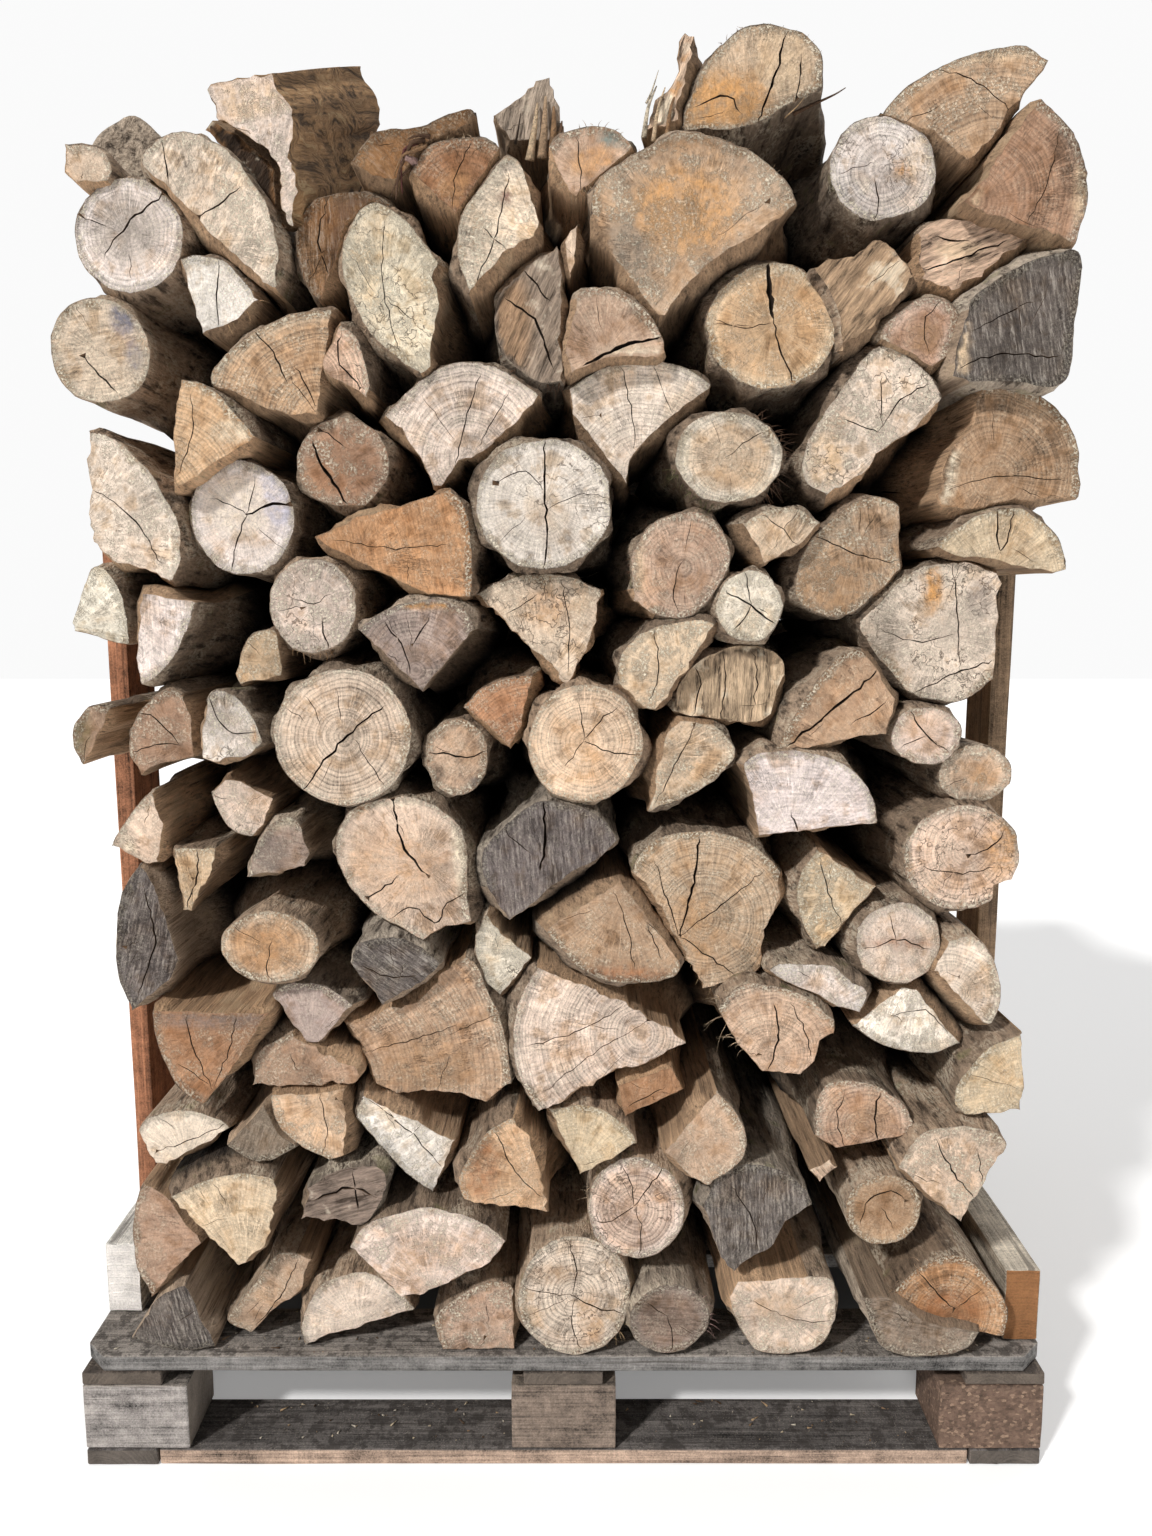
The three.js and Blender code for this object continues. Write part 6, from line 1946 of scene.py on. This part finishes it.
# Crumbs of wood and bark on the boards: how many, from and to which X and depth, and on which board
CRUMB_FIELDS = [(150, (-570, 570), (6, 130), "deck_board_1"),
                (110, (-450, 450), (12, 92), "base_board_front")]
CRUMB_COLOURS = [(214, 196, 166), (190, 160, 124), (150, 122, 94), (90, 70, 54), (228, 216, 196)]
CRUMB_LENGTHS = (2.0, 3.5, 6.0, 11.0)
CRUMB_CHANCES = (0.45, 0.33, 0.17, 0.05)
CRUMB_LIFT = 0.3
CRUMB_RADIUS, CRUMB_SLIMNESS = 1.4, 0.35


def build_crumbs(materials):
    """Splinters and crumbs that lie on the front boards."""
    rng = np.random.default_rng(5)
    pieces = Pieces()
    log = {"name": "crumb", "tone": "sand"}
    for count, (left, right), (front, back), node in CRUMB_FIELDS:
        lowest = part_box(node)[1][2] / MM + CRUMB_LIFT
        for _ in range(count):
            shared = look_values(log, rng, rng.uniform(0, 300))
            start = np.array([rng.uniform(left, right), rng.uniform(front, back), lowest])
            turn = rng.uniform(0, math.tau)
            length = rng.choice(CRUMB_LENGTHS, p=CRUMB_CHANCES)
            way = np.array([math.cos(turn), math.sin(turn), rng.uniform(0.0, 0.15)]) * length
            path = [start, start + way * 0.5, start + way]
            colour = CRUMB_COLOURS[rng.integers(len(CRUMB_COLOURS))]
            add_strand(pieces, path, min(CRUMB_RADIUS, CRUMB_SLIMNESS * length), shared, colour, start)
    made = make_object("crumbs_on_boards", pieces, materials)
    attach(made, "root")


# Camera, light and floor

SUN_COLOUR = (1.0, 0.99, 0.975)
WHITE = (1.0, 1.0, 1.0, 1.0)
FLOOR_PALE = (0.9, 0.9, 0.9, 1.0)
FLOOR_SHADED = (0.2, 0.2, 0.2, 1.0)
FLOOR_HALF = 14.0

# The floor's painted glow ends, and its painted shade begins, under the stack, between these distances from
# the pallet's middle
SHADE_FRONT = (0.34, 0.24)
SHADE_SIDE = (0.60, 0.50)


def build_camera():
    """The camera at the eye that the outlines are seen from."""
    camera = bpy.data.cameras.new("camera")
    camera.lens = CAMERA_LENS
    camera.sensor_width = SENSOR
    holder = bpy.data.objects.new("camera", camera)
    holder.location = (EYE[0] * MM, (EYE[1] - HALF_DEPTH) * MM, EYE[2] * MM)
    holder.rotation_euler = (math.radians(90 - CAMERA_PITCH), 0, 0)
    bpy.context.scene.collection.objects.link(holder)
    bpy.context.scene.camera = holder


def add_sun(name, energy, softness, direction):
    light = bpy.data.lights.new(name, "SUN")
    light.energy = energy
    light.angle = math.radians(softness)
    light.color = SUN_COLOUR
    holder = bpy.data.objects.new(name, light)
    holder.rotation_euler = Vector(direction).to_track_quat("-Z", "Y").to_euler()
    bpy.context.scene.collection.objects.link(holder)


def build_lights():
    """A soft light from the front, high on the left, a weaker one from behind, and a pale surround."""
    add_sun("main_light", energy=3.0, softness=5.0, direction=(0.50, 0.62, -0.62))
    add_sun("back_light", energy=1.1, softness=30.0, direction=(-0.55, -0.60, -0.45))
    world = bpy.data.worlds.new("world")
    world.use_nodes = True
    tree = world.node_tree
    seen = tree.nodes.new("ShaderNodeLightPath").outputs["Is Camera Ray"]
    strength = tree.nodes.new("ShaderNodeMapRange")
    tree.links.new(seen, strength.inputs["Value"])
    strength.inputs["To Min"].default_value = AMBIENT
    strength.inputs["To Max"].default_value = BACKDROP
    background = tree.nodes["Background"]
    background.inputs["Color"].default_value = WHITE
    tree.links.new(strength.outputs[0], background.inputs["Strength"])
    bpy.context.scene.world = world
    bpy.context.scene.view_settings.view_transform = "Standard"


def floor_material():
    """Pale, with a faint painted glow, and painted shade under the stack where the glow ends."""
    g = Graph("floor")
    x, y, _ = g.parts(g.node("ShaderNodeNewGeometry", {}))
    beside, ahead = g.math("ABSOLUTE", x), g.math("ABSOLUTE", y)
    shade = g.product(g.ramp(beside, *SHADE_SIDE), g.ramp(ahead, *SHADE_FRONT))
    inputs = g.shader.inputs
    g.put(inputs["Base Color"], g.mix(shade, FLOOR_PALE, FLOOR_SHADED))
    inputs["Roughness"].default_value = 0.9
    inputs["Emission Color"].default_value = WHITE
    g.put(inputs["Emission Strength"], g.ramp(shade, 0.0, 1.0, FLOOR_GLOW, 0.0))
    return g.material


def build_floor():
    """A pale floor, with a painted glow and painted shade under the stack."""
    corners = [(-1, -1), (1, -1), (1, 1), (-1, 1)]
    mesh = bpy.data.meshes.new("floor")
    mesh.from_pydata([(x * FLOOR_HALF, y * FLOOR_HALF, 0) for x, y in corners], [], [(0, 1, 2, 3)])
    mesh.materials.append(floor_material())
    floor = bpy.data.objects.new("floor", mesh)
    bpy.context.scene.collection.objects.link(floor)


build_crumbs(build_logs())
build_pallet()
build_camera()
build_lights()
build_floor()
